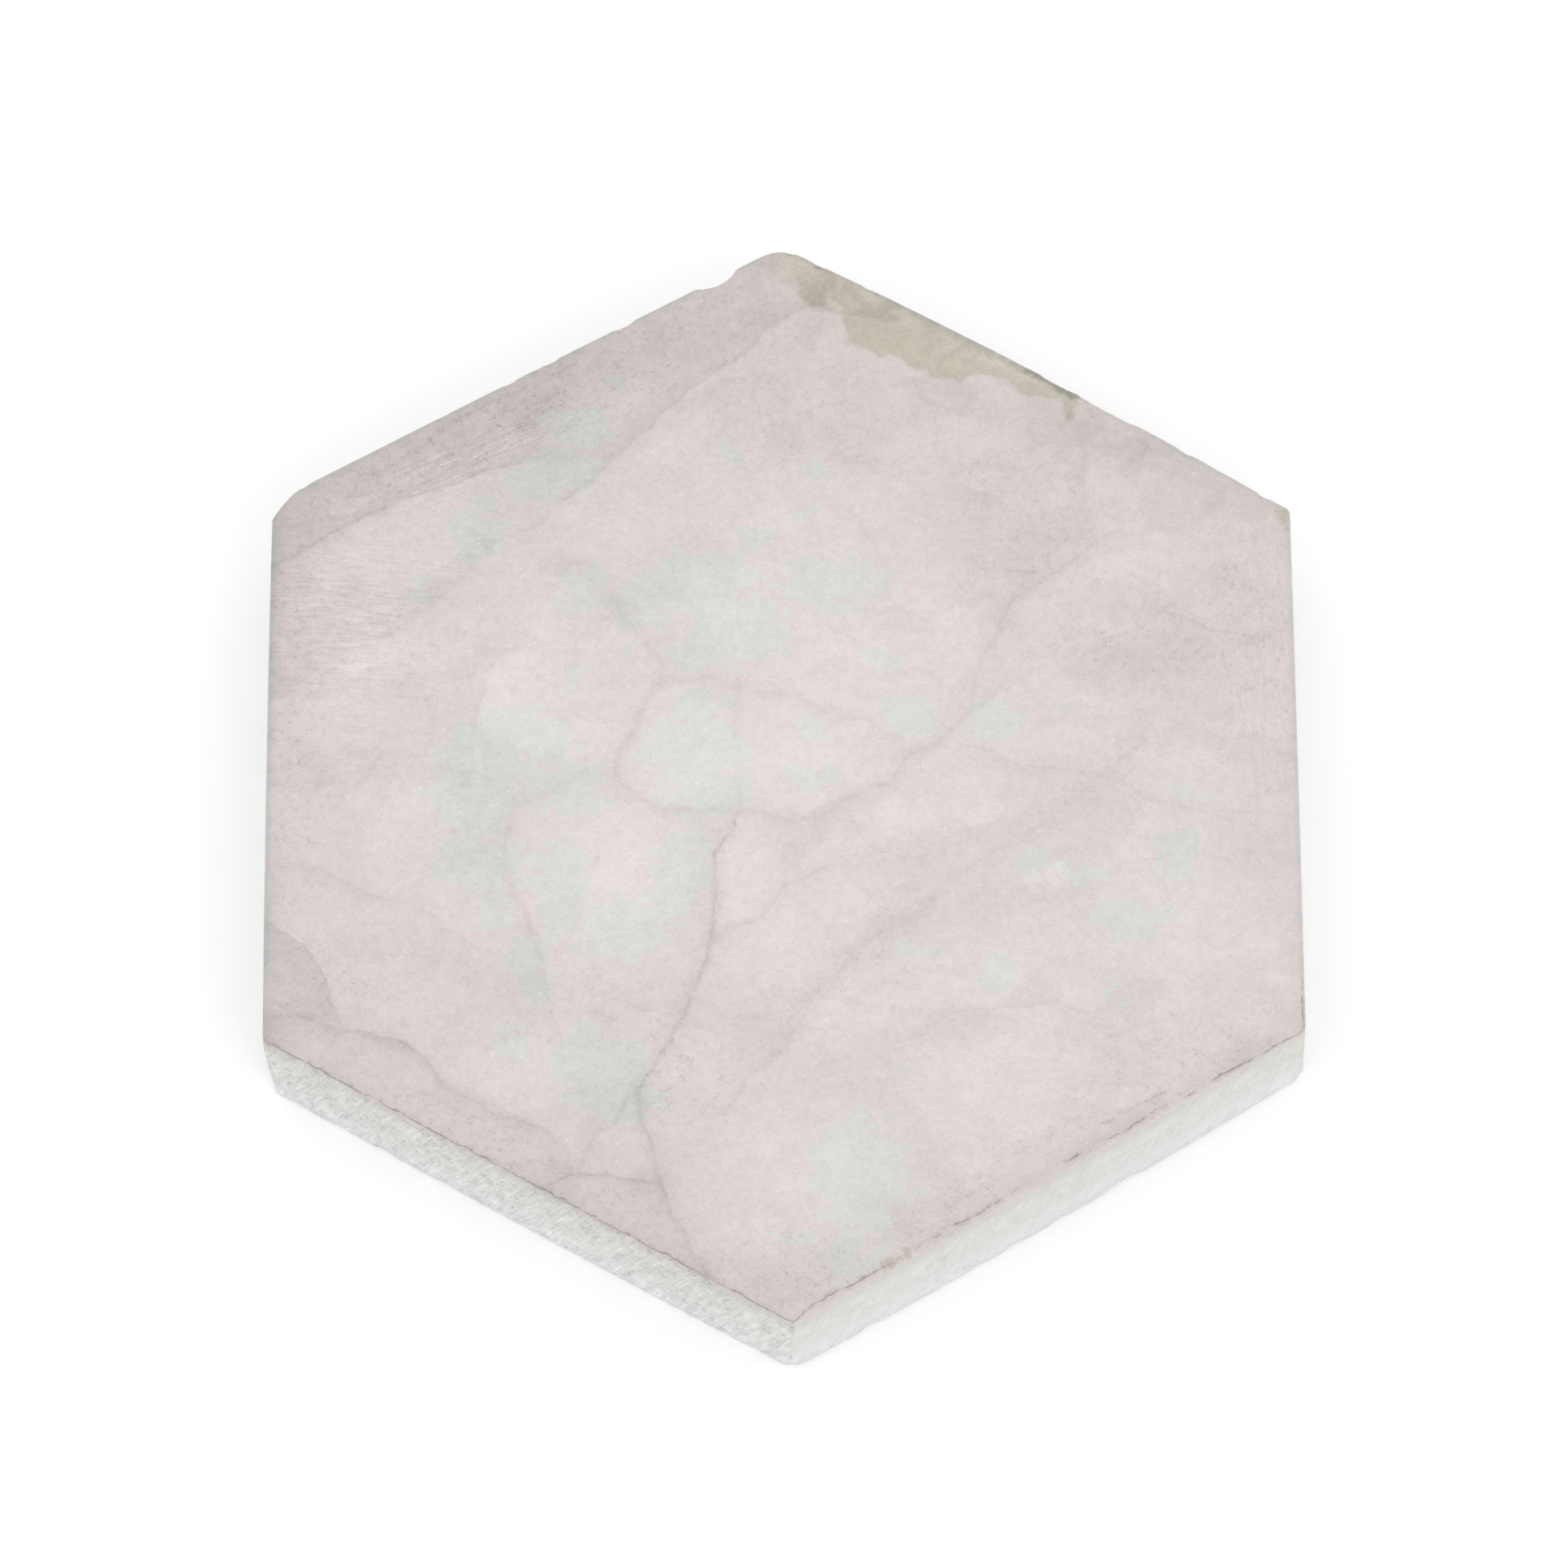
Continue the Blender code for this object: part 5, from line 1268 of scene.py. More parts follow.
for tri in triangulate(top_xy, N):
    if not upward(tri, top_xy):
        tri = tri[::-1]
    faces.append([top_first + t for t in tri])
    face_part.append(6)
for tri in triangulate(under_all, N):
    if upward(tri, under_all):
        tri = tri[::-1]
    faces.append([under_first + t for t in tri])
    face_part.append(7)
for k in range(N):
    n = (k + 1) % N
    faces.append([top_first + k, rows[0] + k, rows[0] + n, top_first + n])
    face_part.append(6)
    for r in range(wall_rows - 1):
        faces.append([rows[r] + k, rows[r + 1] + k, rows[r + 1] + n, rows[r] + n])
        # the upper half of the rounded rim belongs with the top
        face_part.append(6 if r < 3 else int(owner[k]))
    faces.append([rows[-1] + k, under_first + k, under_first + n, rows[-1] + n])
    face_part.append(7)

xyz = np.vstack(verts)
face_part = np.array(face_part)

# ---------------------------------------------------------------- relief of the top
top_slice = slice(top_first, top_first + len(top_xy))
tx, ty = top_xy[:, 0], top_xy[:, 1]
painted = marks(tx, ty)
poly_gap = np.min(edge_distances(tx, ty), axis=0)
calm = smooth(poly_gap, 0.5, 2.0)
swell = noise(tx / 14.0, ty / 14.0, 100) * 0.020 + noise(tx / 5.0, ty / 5.0, 101) * 0.010
grit = fractal(tx / 0.9, ty / 0.9, 2, 102) * 0.0045
groove = -0.020 * np.exp(-painted["vein_q"] ** 2) * np.clip(painted["vein_a"] / 6.0, 0, 1.3)
pits = -0.05 * painted["spots"]
drag = noise(painted["stroke_v"] / 0.55, painted["stroke_u"] / 6.0, 103) * 0.006 * painted["scratch"]
xyz[top_slice, 2] += (swell + grit + drag) * calm + groove + pits
xyz[top_slice, 2] = np.minimum(xyz[top_slice, 2], THICKNESS + 0.03)
xyz[top_first:top_first + N, 2] = THICKNESS

# ---------------------------------------------------------------- what the shader reads
total = len(xyz)
fields = {name: np.zeros(total) for name in
          ("tone", "vein_q", "vein_a", "vein_b", "coarse", "tint", "stain", "spots", "scratch", "stroke_u", "stroke_v",
           "speckle", "fringe", "stain_depth", "stain_red", "stain_grey", "stain_pale", "stain_olive",
           "side", "rim", "rim_run", "corner", "corner_rust", "under")}
fields["vein_q"][:] = 9.0
for name, values in painted.items():
    fields[name][top_slice] = values

ring_marks = marks(wall_xy[0][:, 0], wall_xy[0][:, 1])
STATION = np.arange(N)
u = along[:-1]
# how dark the rim line is round the plate
rim_line_shade_level = np.select([owner == 4, owner == 5, owner == 1, owner == 2, owner == 3, owner == 0],
                      [0.80, 0.62, 0.30, 0.12, 0.26, 0.24])
# painted shade: along most of the north-east rim, whose bevel turns away from the light, the dark line is stronger
rim_line_shade_level = np.where((owner == 1) & (length_of - place < 34) & (length_of - place > 1), 0.50, rim_line_shade_level)
rim_line_shade_level = np.where((owner == 0) & (place < 7), 0.55, rim_line_shade_level)
rim_line_shade_level = rim_line_shade_level + np.where(owner == 5, 0.22 * smooth(place, 38, 48), 0.0)
rim_line_shade_level = rim_line_shade_level * np.clip(1 + 0.9 * noise(u / 5.0, 0 * u, 120) + 0.9 * noise(u / 1.3, 0 * u, 121), 0.1, 1.7)
softness = np.where(owner == 5, 1.5, 0.45)               # how far down the side the top's colour runs
# how far past the top edge the dark rim line lies, on the two sides that are seen best
rim_drop = np.select([owner == 4, owner == 5], [0.30, 0.24 + 0.34 * smooth(place, 34, 56)], 0.0)
rim_drop = sum(np.roll(rim_drop, k) for k in range(-4, 5)) / 9

rim_run = np.zeros(N)
south_tip = wall_xy[8][np.argmin(wall_xy[8][:, 1])]
for r in range(wall_rows):
    s = slice(rows[r], rows[r] + N)
    down = THICKNESS - wall_z[r]
    for name in ("tone", "tint", "stain", "scratch", "speckle", "fringe", "stain_depth", "stain_red", "stain_grey",
                 "stain_pale", "stain_olive"):
        fields[name][s] = ring_marks[name] * np.exp(-np.clip(down - 0.2, 0, None) / 1.2)
    for name in ("vein_q", "vein_b", "stroke_u", "stroke_v"):
        fields[name][s] = ring_marks[name]
    fields["vein_a"][s] = ring_marks["vein_a"] * np.exp(-down / 1.5)
    fields["coarse"][s] = np.select([owner == 4, owner == 5], [0.95, 0.36], 0.85)
    fields["tone"][s] += np.where(owner == 5, 2.2 * smooth(down, 1.0, 4.0), 0.0)
    ragged = 1 + 0.8 * noise(u / 0.9, down / 0.9, 122)
    fields["side"][s] = smooth(down - rim_drop, 0.12, softness * ragged.clip(0.4, 2))
    if r:
        rim_run = rim_run + np.hypot(np.linalg.norm(wall_xy[r] - wall_xy[r - 1], axis=1), wall_z[r] - wall_z[r - 1])
    fields["rim_run"][s] = rim_run - rim_drop
    fields["rim"][s] = rim_line_shade_level
    off_tip = np.hypot(wall_xy[r][:, 0] - south_tip[0], wall_xy[r][:, 1] - south_tip[1])
    fields["corner"][s] = np.exp(-(off_tip / 0.16) ** 2) * np.exp(-down / 3.2) * (r > 1)
    fields["corner_rust"][s] = np.exp(-(off_tip / 1.1) ** 2) * np.exp(-((down - 1.2) / 1.3) ** 2)
fields["side"][under_first:] = 1.0
fields["under"][under_first:] = 1.0
fields["under"][rows[-1]:rows[-1] + N] = 1.0
fields["under"][rows[-2]:rows[-2] + N] = 0.5

# mm past the rim: less than nothing on the top
fields["rim_run"][top_slice] = -np.clip(np.min(edge_distances(top_xy[:, 0], top_xy[:, 1]), axis=0), 0.2, 9.0) - 0.3
fields["rim_run"][top_first:top_first + N] = -0.20 - rim_drop
fields["rim"][top_first:top_first + N] = rim_line_shade_level
fields["rim_run"][under_first:] = 20.0
fields["coarse"][under_first:] = 0.85

# ---------------------------------------------------------------- mesh object
mesh = bpy.data.meshes.new("selenite_slab")
mesh.from_pydata([tuple(p) for p in (xyz * 0.001).tolist()], [], faces)
mesh.update()
for name, values in fields.items():
    layer = mesh.attributes.new(name, "FLOAT", "POINT")
    layer.data.foreach_set("value", values.astype(np.float32))

loops = len(mesh.loops)
loop_vertex = np.zeros(loops, np.int32)
mesh.loops.foreach_get("vertex_index", loop_vertex)
starts = np.zeros(len(mesh.polygons), np.int32)
sizes = np.zeros(len(mesh.polygons), np.int32)
mesh.polygons.foreach_get("loop_start", starts)
mesh.polygons.foreach_get("loop_total", sizes)
loop_face = np.repeat(np.arange(len(mesh.polygons)), sizes)
loop_part = face_part[loop_face]
p = xyz[loop_vertex]

# running length round the outline for the wall's vertices, closed at the last column
station_of = np.full(total, -1)
for r in range(wall_rows):
    station_of[rows[r]:rows[r] + N] = STATION
station_of[top_first:top_first + N] = STATION
station_of[under_first:under_first + N] = STATION
loop_station = station_of[loop_vertex]
loop_u = np.where(loop_station >= 0, along[np.clip(loop_station, 0, None)], 0.0)
# a face in the closing column has stations N - 1 and 0: its zero means the full length
face_high = np.zeros(len(mesh.polygons))
np.maximum.at(face_high, loop_face, np.where(loop_station >= 0, loop_station, 0))
closing = (face_high[loop_face] == N - 1) & (loop_station == 0)
loop_u = np.where(closing, along[-1], loop_u)

wall_map = mesh.uv_layers.new(name="wall_mm")
wall_map.data.foreach_set("uv", np.column_stack([loop_u, p[:, 2]]).astype(np.float32).ravel())

# chart layout, in pixels of a 1024 image
uv = np.zeros((loops, 2))
m = loop_part == 6
uv[m] = np.column_stack([340 + p[m, 0] * 6.55, 390 + p[m, 1] * 6.55])
m = loop_part == 7
uv[m] = np.column_stack([120 + p[m, 0] * 2.02, 900 + p[m, 1] * 2.02])
order = [2, 3, 4, 5, 0, 1]
for slot, i in enumerate(order):
    m = loop_part == i
    u0 = along[strip_first[i]]
    column, level = slot % 3, slot // 3
    uv[m] = np.column_stack([686 + column * 88 + p[m, 2] * 6.5, 8 + level * 396 + (loop_u[m] - u0) * 6.4])
bake_map = mesh.uv_layers.new(name="OFBake")
bake_map.data.foreach_set("uv", (uv / 1024.0).astype(np.float32).ravel())
mesh.uv_layers.active = bake_map

mesh.polygons.foreach_set("use_smooth", np.ones(len(mesh.polygons), bool))
mesh.validate(verbose=False)
slab = bpy.data.objects.new("selenite_slab", mesh)
bpy.context.scene.collection.objects.link(slab)

# ================================================================ stone
stone = bpy.data.materials.new("selenite_stone")
stone.use_nodes = True
tree = stone.node_tree
nodes, links = tree.nodes, tree.links
nodes.clear()
output = nodes.new("ShaderNodeOutputMaterial")
bsdf = nodes.new("ShaderNodeBsdfPrincipled")
links.new(bsdf.outputs["BSDF"], output.inputs["Surface"])
bsdf.inputs["IOR"].default_value = 1.52
bsdf.inputs["Metallic"].default_value = 0.0
bsdf.inputs["Specular IOR Level"].default_value = 0.5
bsdf.inputs["Subsurface Weight"].default_value = SUBSURFACE
bsdf.inputs["Subsurface Radius"].default_value = (1.0, 0.86, 0.78)
bsdf.inputs["Subsurface Scale"].default_value = 0.0016


def socket(value, target):
    if isinstance(value, (int, float)):
        target.default_value = value
    elif isinstance(value, tuple):
        target.default_value = value if len(value) == len(target.default_value) else value + (1.0,)
    else:
        links.new(value, target)


def attribute(name):
    n = nodes.new("ShaderNodeAttribute")
    n.attribute_type = "GEOMETRY"
    n.attribute_name = name
    return n.outputs["Fac"]


def calc(operation, a, b=None, c=None, clamp=False):
    n = nodes.new("ShaderNodeMath")
    n.operation = operation
    n.use_clamp = clamp
    socket(a, n.inputs[0])
    if b is not None:
        socket(b, n.inputs[1])
    if c is not None:
        socket(c, n.inputs[2])
    return n.outputs[0]


def remap(value, low, high, to_low=0.0, to_high=1.0, smooth_step=True):
    n = nodes.new("ShaderNodeMapRange")
    n.interpolation_type = "SMOOTHSTEP" if smooth_step else "LINEAR"
    socket(value, n.inputs["Value"])
    for key, v in (("From Min", low), ("From Max", high), ("To Min", to_low), ("To Max", to_high)):
        socket(v, n.inputs[key])
    return n.outputs["Result"]


def blend(factor, a, b):
    n = nodes.new("ShaderNodeMix")
    n.data_type = "RGBA"
    socket(factor, n.inputs["Factor"])
    socket(a, n.inputs[6])
    socket(b, n.inputs[7])
    return n.outputs[2]


def blend_value(factor, a, b):
    n = nodes.new("ShaderNodeMix")
    n.data_type = "FLOAT"
    socket(factor, n.inputs[0])
    socket(a, n.inputs[2])
    socket(b, n.inputs[3])
    return n.outputs[0]


def scaled(color, amount):
    n = nodes.new("ShaderNodeVectorMath")
    n.operation = "SCALE"
    socket(color, n.inputs[0])
    socket(amount, n.inputs["Scale"])
    return n.outputs[0]


def placed(vector, scale, turn=0.0, shift=(0.0, 0.0, 0.0)):
    n = nodes.new("ShaderNodeMapping")
    socket(vector, n.inputs["Vector"])
    n.inputs["Location"].default_value = shift
    n.inputs["Rotation"].default_value = (0.0, 0.0, math.radians(turn))
    n.inputs["Scale"].default_value = scale
    return n.outputs["Vector"]


def cloud(vector, scale, detail=2.0, rough=0.5, warp=0.0, lacunarity=2.0):
    """Noise with mean 0, about -1 to 1."""
    n = nodes.new("ShaderNodeTexNoise")
    n.noise_dimensions = "3D"
    socket(vector, n.inputs["Vector"])
    n.inputs["Scale"].default_value = scale
    n.inputs["Detail"].default_value = detail
    n.inputs["Roughness"].default_value = rough
    n.inputs["Lacunarity"].default_value = lacunarity
    n.inputs["Distortion"].default_value = warp
    return remap(n.outputs["Fac"], 0.25, 0.75, -1.0, 1.0, smooth_step=False)


def cells(vector, scale, feature="F1"):
    n = nodes.new("ShaderNodeTexVoronoi")
    n.feature = feature
    socket(vector, n.inputs["Vector"])
    n.inputs["Scale"].default_value = scale
    return n.outputs["Distance"]


coord = nodes.new("ShaderNodeTexCoord")
mm = placed(coord.outputs["Object"], (1000.0, 1000.0, 1000.0))
wall_node = nodes.new("ShaderNodeUVMap")
wall_node.uv_map = "wall_mm"
wall_parts = nodes.new("ShaderNodeSeparateXYZ")
links.new(wall_node.outputs["UV"], wall_parts.inputs[0])
wall_u, wall_z = wall_parts.outputs[0], wall_parts.outputs[1]


def joined(x, y, z=0.0):
    n = nodes.new("ShaderNodeCombineXYZ")
    socket(x, n.inputs[0])
    socket(y, n.inputs[1])
    socket(z, n.inputs[2])
    return n.outputs[0]


def flats(vector, scale):
    """A level of its own for every cell, about -0.5 to 0.5."""
    n = nodes.new("ShaderNodeTexVoronoi")
    n.feature = "F1"
    socket(vector, n.inputs["Vector"])
    n.inputs["Scale"].default_value = scale
    parts = nodes.new("ShaderNodeSeparateColor")
    links.new(n.outputs["Color"], parts.inputs[0])
    return calc("SUBTRACT", parts.outputs[0], 0.5)


def shaken(vector, by, scale, amount):
    """The place moved about by a noise, so that borders run raggedly."""
    n = nodes.new("ShaderNodeTexNoise")
    socket(placed(vector, (1, 1, 1), shift=by), n.inputs["Vector"])
    n.inputs["Scale"].default_value = scale
    n.inputs["Detail"].default_value = 2.0
    away = nodes.new("ShaderNodeVectorMath")
    away.operation = "MULTIPLY_ADD"
    links.new(n.outputs["Color"], away.inputs[0])
    away.inputs[1].default_value = (amount, amount, amount)
    socket(vector, away.inputs[2])
    return away.outputs[0]


side = attribute("side")
tone = attribute("tone")
scratch = attribute("scratch")

# the few textures that everything is mixed from
mottle = cloud(mm, 1.05, 3.0, 0.62)
fleck = cloud(placed(mm, (1, 1, 1), shift=(7, 1, 4)), 1.45, 2.0, 0.60, warp=0.35)
grain = cloud(placed(mm, (1, 1, 1), shift=(11, 2, 0)), 4.6, 2.0, 0.7)
stroke = cloud(joined(calc("MULTIPLY", attribute("stroke_u"), 0.33), calc("MULTIPLY", attribute("stroke_v"), 3.1)), 1.0, 3.0, 0.68)

moved = shaken(mm, (4, 7, 2), 0.55, 3.0)
broad_flat = flats(placed(moved, (0.20, 0.34, 0.2), turn=-33), 1.0)
small_flat = flats(placed(shaken(mm, (1, 3, 8), 1.3, 1.4), (0.55, 0.80, 0.6), turn=-25), 1.0)

# ---- top: levels of 255 added together, then turned to a factor
level = calc("MULTIPLY_ADD", mottle, TOP_MOTTLE, tone)
flake = remap(fleck, -0.25, 0.30, -1.0, 1.0)
level = calc("MULTIPLY_ADD", flake, TOP_FLAKE, level)
level = calc("MULTIPLY_ADD", grain, TOP_GRAIN, level)
level = calc("MULTIPLY_ADD", broad_flat, FLAT_BROAD, level)
level = calc("MULTIPLY_ADD", small_flat, FLAT_SMALL, level)

# veins: a thin grainy line
q = calc("MULTIPLY_ADD", grain, 0.35, attribute("vein_q"))
core = calc("EXPONENT", calc("MULTIPLY", calc("MULTIPLY", q, q), -1.7))
beads = remap(calc("MULTIPLY_ADD", grain, 0.35, mottle), -0.55, 0.45, 0.35, 1.35)
dusky = attribute("vein_b")
halo = calc("EXPONENT", calc("MULTIPLY", calc("MULTIPLY", q, q), -0.16))
line_part = calc("MULTIPLY", calc("MULTIPLY", core, beads), calc("MULTIPLY_ADD", dusky, -0.85, 1.0))
vein = calc("MULTIPLY_ADD", calc("MULTIPLY", halo, dusky), 0.88, line_part)
vein = calc("MULTIPLY", calc("MULTIPLY", vein, attribute("vein_a")), VEIN_GAIN)
level = calc("SUBTRACT", level, vein)
scratched = calc("MULTIPLY", stroke, scratch)
level = calc("MULTIPLY_ADD", scratched, TOP_SCRATCH, level)
hair = cloud(joined(calc("MULTIPLY", attribute("stroke_u"), 0.26), calc("MULTIPLY", attribute("stroke_v"), 2.3), 5.0), 1.0, 2.0, 0.6)
hair = remap(calc("ABSOLUTE", hair), 0.015, 0.085, 1.0, 0.0)
hair = calc("MULTIPLY", calc("MULTIPLY", hair, scratch), remap(mottle, -0.10, 0.25))
level = calc("MULTIPLY_ADD", hair, -HAIRLINE, level)

# hair cracks: long thin lines where a broad noise crosses zero
crack = remap(calc("ABSOLUTE", cloud(placed(mm, (1, 1, 1), shift=(6, 2, 9)), 0.30, 4.0, 0.55, warp=0.6)), 0.004, 0.030, 1.0, 0.0)
crack = calc("MULTIPLY", crack, remap(calc("MULTIPLY_ADD", small_flat, 0.6, mottle), 0.0, 0.35))
crack = calc("MULTIPLY", crack, calc("MULTIPLY_ADD", attribute("speckle"), 0.75, 0.25))
level = calc("MULTIPLY_ADD", crack, -CRACK, level)

# dark flecks: short wriggles where a noise crosses zero, and round grains
wriggle = remap(calc("ABSOLUTE", cloud(placed(mm, (1, 1, 1), shift=(3, 9, 6)), 1.15, 2.0, 0.62)), 0.02, 0.11, 1.0, 0.0)
wriggle = calc("MULTIPLY", wriggle, remap(fleck, -0.10, -0.45))
dot = remap(cells(placed(mm, (1, 1, 1), shift=(2, 5, 0)), 1.15), 0.09, 0.20, 1.0, 0.0)
dot = calc("MULTIPLY", dot, remap(calc("MULTIPLY_ADD", small_flat, 0.8, mottle), -0.40, 0.10, 1.0, 0.15))
many = calc("MULTIPLY_ADD", attribute("speckle"), 0.72, 0.28)
flecks = calc("MULTIPLY", calc("MAXIMUM", wriggle, calc("MULTIPLY", dot, 0.75)), many)
level = calc("MULTIPLY_ADD", flecks, -SPECKLE, level)
spark = remap(cells(placed(mm, (1, 1, 1), shift=(8, 3, 1)), 1.35), 0.08, 0.17, 1.0, 0.0)
spark = calc("MULTIPLY", spark, remap(mottle, 0.10, -0.30, 1.0, 0.0))
level = calc("MULTIPLY_ADD", spark, SPARKLE, level)
level = calc("MULTIPLY_ADD", attribute("spots"), -26.0, level)
top_factor = calc("MULTIPLY_ADD", level, 0.0104, 1.0)

green_edge = remap(calc("MULTIPLY_ADD", fleck, 0.22, calc("MULTIPLY_ADD", mottle, 0.28, calc("MULTIPLY_ADD", small_flat, 0.42, attribute("tint")))), 0.46, 0.57)
top_color = blend(calc("MULTIPLY", green_edge, GREEN_SHARE), TOP_COLOR, GREEN_COLOR)
stain_edge = remap(calc("MULTIPLY_ADD", fleck, 0.22, attribute("stain")), 0.15, 0.90)
stain_color = blend(remap(calc("MULTIPLY_ADD", grain, 0.25, calc("MULTIPLY_ADD", mottle, 0.5, remap(attribute("stain_depth"), 0.0, 3.5, 0.5, -0.5))), -0.8, 0.8), STAIN_DARK, STAIN_LIGHT)
# the olive dab is in part painted shadow of a chip in the north-east rim
for kind, dab_color, share in (("pale", STAIN_PALE, 0.8), ("red", STAIN_RED, 0.6), ("grey", STAIN_GREY, 0.6),
                               ("olive", STAIN_OLIVE_CHIP_SHADOW, 0.85)):
    dab = remap(calc("MULTIPLY_ADD", fleck, 0.40, attribute("stain_" + kind)), 0.15, 1.0, 0.0, share)
    stain_color = blend(dab, stain_color, dab_color)
top_color = blend(stain_edge, top_color, stain_color)
# the far rims' fringe colour, in part painted shade of their bevels
top_color = blend(calc("MULTIPLY", attribute("fringe"), calc("MULTIPLY_ADD", stain_edge, -1.0, 1.0)), top_color, FRINGE_SHADE_COLOR)
top_color = scaled(top_color, top_factor)

# ---- sides: sawn, greener, with slanting saw marks
sawn_u = calc("MULTIPLY_ADD", wall_z, -0.42, wall_u)
saw = cloud(joined(calc("MULTIPLY", sawn_u, 1.25), calc("MULTIPLY", wall_z, 0.20)), 1.0, 4.0, 0.66, warp=0.2)
saw_fine = cloud(joined(calc("MULTIPLY", sawn_u, 3.3), calc("MULTIPLY", wall_z, 0.30), 3.0), 1.0, 3.0, 0.62, warp=0.25)
blotch = cloud(placed(mm, (1, 1, 1), shift=(5, 0, 3)), 0.62, 4.0, 0.70)
side_level = calc("MULTIPLY", remap(saw, -0.35, 0.35, -1.0, 1.0), SIDE_SAW)
side_level = calc("MULTIPLY_ADD", saw_fine, SIDE_FINE, side_level)
side_level = calc("MULTIPLY_ADD", blotch, SIDE_MOTTLE, side_level)
side_level = calc("MULTIPLY_ADD", grain, SIDE_GRAIN, side_level)
side_level = calc("MULTIPLY_ADD", remap(calc("MULTIPLY_ADD", saw_fine, 0.4, blotch), 0.15, 0.45), 7.0, side_level)
scrape = remap(calc("ABSOLUTE", saw_fine), 0.03, 0.16, 1.0, 0.0)
scrape = calc("MULTIPLY", scrape, remap(calc("MULTIPLY_ADD", blotch, -0.6, fleck), 0.0, 0.5))
side_level = calc("MULTIPLY_ADD", scrape, -SIDE_SCRAPE, side_level)
side_level = calc("MULTIPLY_ADD", side_level, attribute("coarse"), tone)
calm = calc("MULTIPLY_ADD", attribute("coarse"), -1.0, 0.9)
side_level = calc("MULTIPLY_ADD", calc("MULTIPLY", calc("MULTIPLY_ADD", grain, 1.3, blotch), calm), 6.5, side_level)
side_factor = calc("MULTIPLY_ADD", side_level, 0.0104, 1.0)
ragged_z = calc("MULTIPLY_ADD", saw, 1.0, calc("MULTIPLY_ADD", blotch, 1.7, wall_z))
# painted light: the foot of the sides is coloured lighter, standing in for light thrown up from the table
side_color = blend(remap(ragged_z, 2.6, 5.0), SIDE_FOOT_BOUNCE_LIT, SIDE_MIDDLE)
side_color = blend(remap(ragged_z, 8.2, 11.2), side_color, SIDE_TOP)
side_color = scaled(side_color, side_factor)

side_edge = remap(calc("MULTIPLY_ADD", fleck, 0.30, calc("MULTIPLY_ADD", saw_fine, 0.25, side)), 0.20, 0.80)
color = blend(side_edge, top_color, side_color)
color = blend(calc("MULTIPLY", attribute("corner_rust"), 0.55), color, TOP_COLOR)

# dark line along the rims, painted shade where it runs along the north-east rim
jag = calc("MULTIPLY_ADD", grain, 0.09, calc("MULTIPLY_ADD", fleck, 0.09, attribute("rim_run")))
jag = calc("ABSOLUTE", calc("SUBTRACT", jag, 0.09))
rim_line_shade = attribute("rim")
hold = remap(calc("MULTIPLY_ADD", mottle, 0.45, calc("MULTIPLY_ADD", grain, 0.30, rim_line_shade)), 0.05, 0.95)
rim = calc("MULTIPLY", remap(jag, calc("MULTIPLY", hold, 0.05), calc("MULTIPLY_ADD", hold, 0.10, 0.05), 1.0, 0.0), hold)
rim = calc("MULTIPLY", rim, remap(rim_line_shade, 0.30, 0.80, 0.40, 1.0))
rim_band = remap(calc("ABSOLUTE", calc("SUBTRACT", attribute("rim_run"), 0.15)), 0.05, 0.80, 1.0, 0.0)
rim_band = calc("MULTIPLY", rim_band, remap(calc("MULTIPLY_ADD", fleck, 0.6, calc("MULTIPLY_ADD", mottle, 0.4, calc("MULTIPLY", grain, 0.6))), -0.25, 0.65))
rim_band = calc("MULTIPLY", calc("MULTIPLY", rim_band, rim_line_shade), 0.70)
tip = calc("MULTIPLY", attribute("corner"), remap(calc("ADD", fleck, grain), -0.9, 0.5, 0.25, 1.0))
rim = calc("MAXIMUM", calc("MAXIMUM", rim, rim_band), tip)
rim = calc("MULTIPLY", rim, RIM_LINE_SHADE_GAIN)
color = blend(rim, color, RIM_LINE_SHADE_COLOR)
links.new(color, bsdf.inputs["Base Color"])

# ---- roughness
rough = calc("MULTIPLY_ADD", mottle, 0.04, 0.44)
rough = calc("MULTIPLY_ADD", scratch, 0.08, rough)
rough = calc("MULTIPLY_ADD", core, 0.05, rough)
rough = blend_value(side, rough, calc("MULTIPLY_ADD", saw, 0.05, 0.66))
links.new(rough, bsdf.inputs["Roughness"])

# ---- fine relief
height = calc("MULTIPLY", grain, 0.0045)
height = calc("MULTIPLY_ADD", scratched, 0.007, height)
height = blend_value(side, height, calc("MULTIPLY", calc("MULTIPLY_ADD", saw, 0.022, calc("MULTIPLY", grain, 0.013)), attribute("coarse")))
bump = nodes.new("ShaderNodeBump")
bump.inputs["Strength"].default_value = 1.0
bump.inputs["Distance"].default_value = 0.001
links.new(height, bump.inputs["Height"])
links.new(bump.outputs["Normal"], bsdf.inputs["Normal"])
mesh.materials.append(stone)

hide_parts("selenite_plate")
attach(slab, "root")

# ================================================================ table, light, camera
scene = bpy.context.scene
scene.view_settings.view_transform = "Standard"
scene.view_settings.look = "None"
scene.view_settings.exposure = 0.0
scene.view_settings.gamma = 1.0

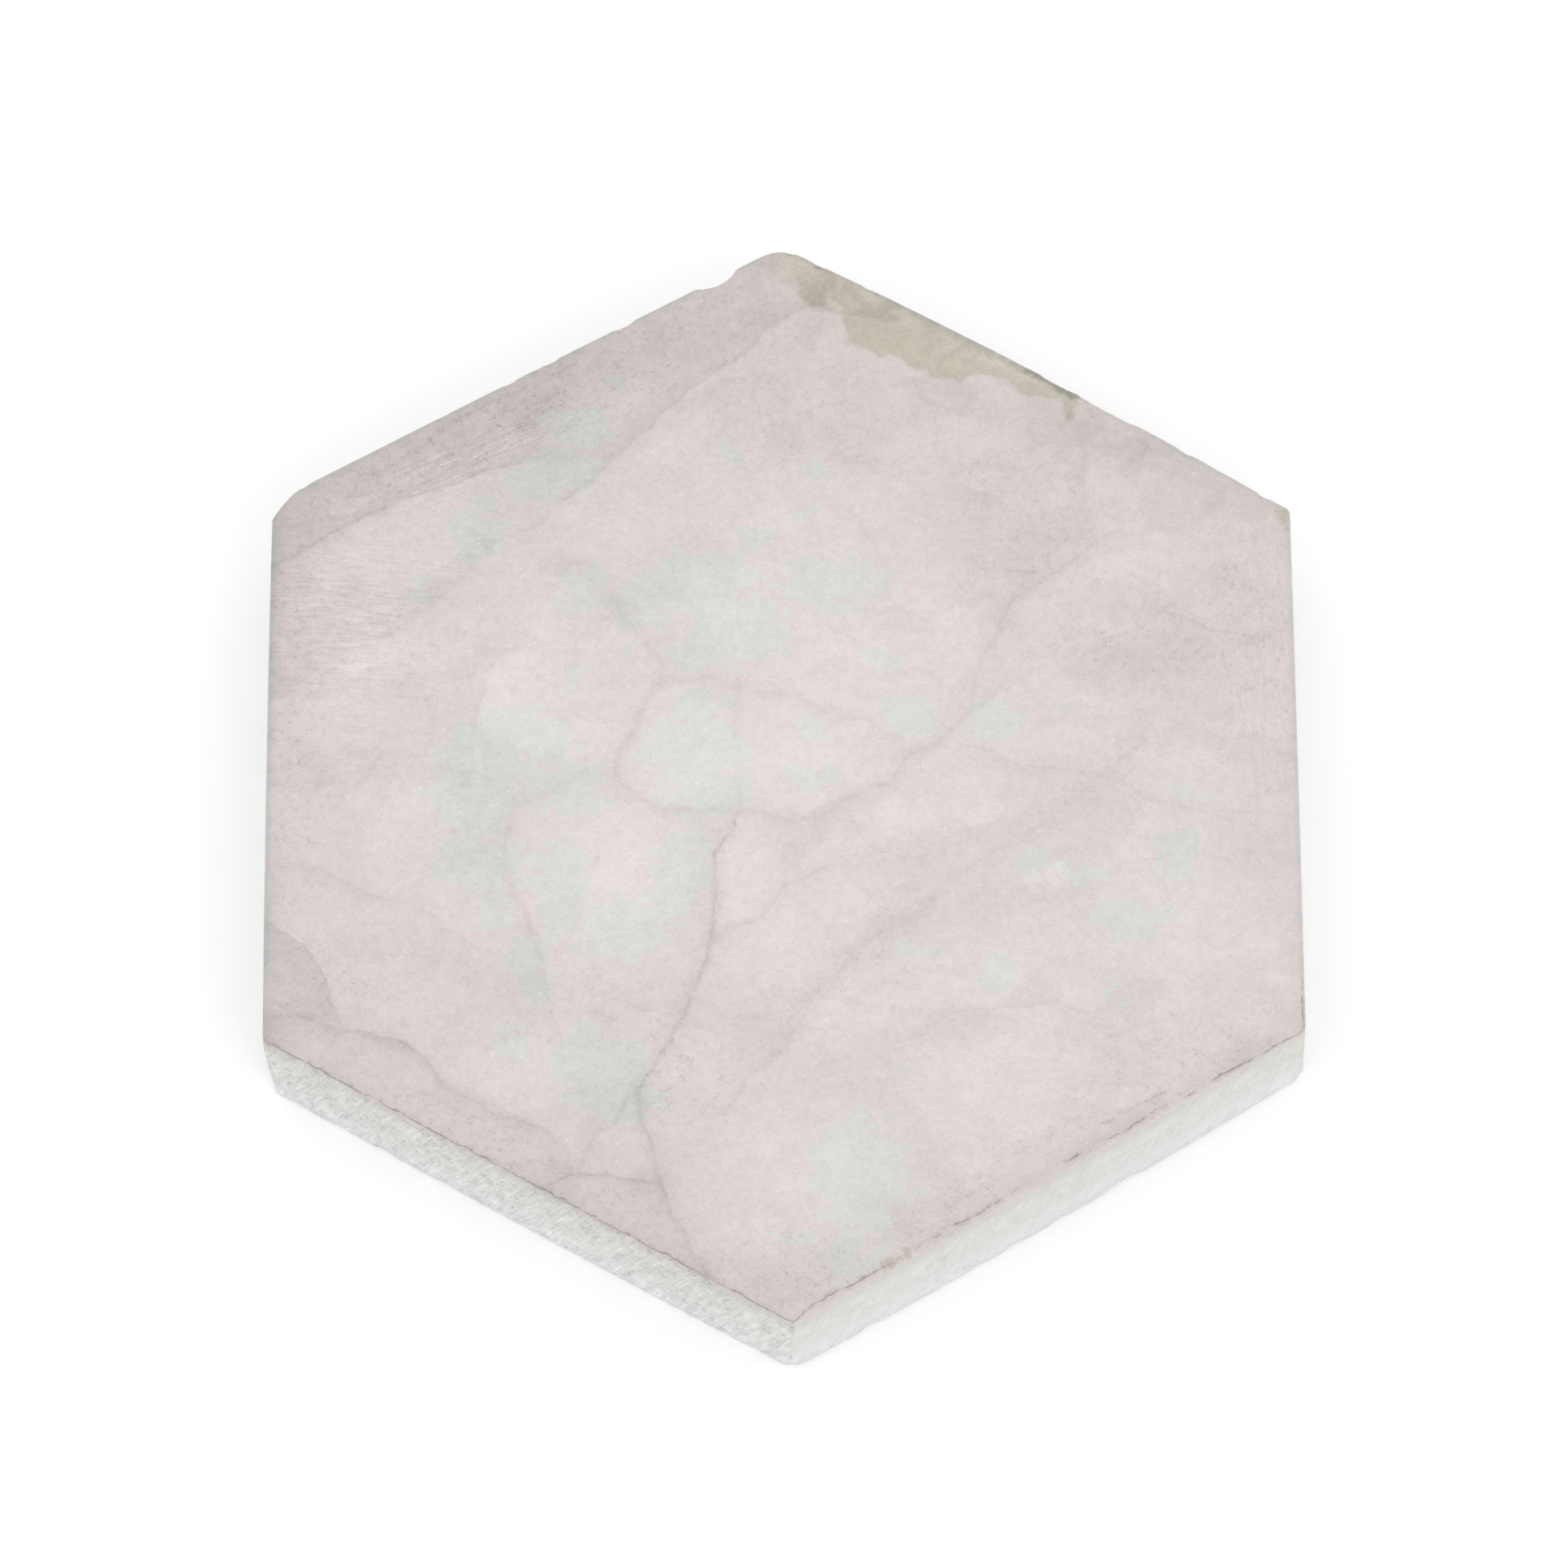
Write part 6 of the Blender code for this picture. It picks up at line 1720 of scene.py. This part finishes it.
floor_mesh = bpy.data.meshes.new("table_top")
size = 30.0
floor_mesh.from_pydata([(-size, -size, 0), (size, -size, 0), (size, size, 0), (-size, size, 0)], [], [(0, 1, 2, 3)])
floor = bpy.data.objects.new("table_top", floor_mesh)
floor.location = (0, 0, -0.00005)
scene.collection.objects.link(floor)
paper = bpy.data.materials.new("white_table")
paper.use_nodes = True
paper.node_tree.nodes["Principled BSDF"].inputs["Base Color"].default_value = (*FLOOR_COLOR, 1.0)
paper.node_tree.nodes["Principled BSDF"].inputs["Roughness"].default_value = 0.9
paper.node_tree.nodes["Principled BSDF"].inputs["Specular IOR Level"].default_value = 0.1
floor_mesh.materials.append(paper)

world = bpy.data.worlds.new("studio")
scene.world = world
world.use_nodes = True
background = world.node_tree.nodes["Background"]
background.inputs["Color"].default_value = (1.0, 1.0, 1.0, 1.0)
background.inputs["Strength"].default_value = SKY


def area_light(name, where, toward, size, watts, color=(1.0, 1.0, 1.0)):
    data = bpy.data.lights.new(name, "AREA")
    data.shape = "DISK"
    data.size = size
    data.energy = watts
    data.color = color
    lamp = bpy.data.objects.new(name, data)
    lamp.location = where
    lamp.rotation_euler = (Vector(toward) - Vector(where)).to_track_quat("-Z", "Y").to_euler()
    scene.collection.objects.link(lamp)
    return lamp


area_light("key_light", (0.55, -0.80, 0.95), (0, 0, 0), 0.9, KEY)
area_light("fill_light", (-0.60, -0.30, 1.1), (0, 0, 0), 0.9, FILL)

# the camera looks down on the plate at 64.5 degrees with a long lens
lift, swing, roll = math.radians(64.4532), math.radians(1.6976), math.radians(1.2871)
ahead = Vector((math.sin(swing) * math.cos(lift), math.cos(swing) * math.cos(lift), -math.sin(lift)))
right = ahead.cross(Vector((0, 0, 1))).normalized()
up_dir = right.cross(ahead)
right, up_dir = (right * math.cos(roll) + up_dir * math.sin(roll),
                 up_dir * math.cos(roll) - right * math.sin(roll))
target = Vector((0.000179 + DRAWN[0] * 0.001, 0.001483 + DRAWN[1] * 0.001, 0.0058))
eye = target - ahead * 0.973829
camera_data = bpy.data.cameras.new("camera")
camera_data.sensor_fit = "HORIZONTAL"
camera_data.sensor_width = 36.0
camera_data.lens = 228.6486
camera_data.clip_start = 0.01
camera_data.clip_end = 50.0
camera = bpy.data.objects.new("camera", camera_data)
camera.matrix_world = Matrix((
    (right.x, up_dir.x, -ahead.x, eye.x),
    (right.y, up_dir.y, -ahead.y, eye.y),
    (right.z, up_dir.z, -ahead.z, eye.z),
    (0, 0, 0, 1)))
scene.collection.objects.link(camera)
scene.camera = camera

bpy.context.view_layer.update()
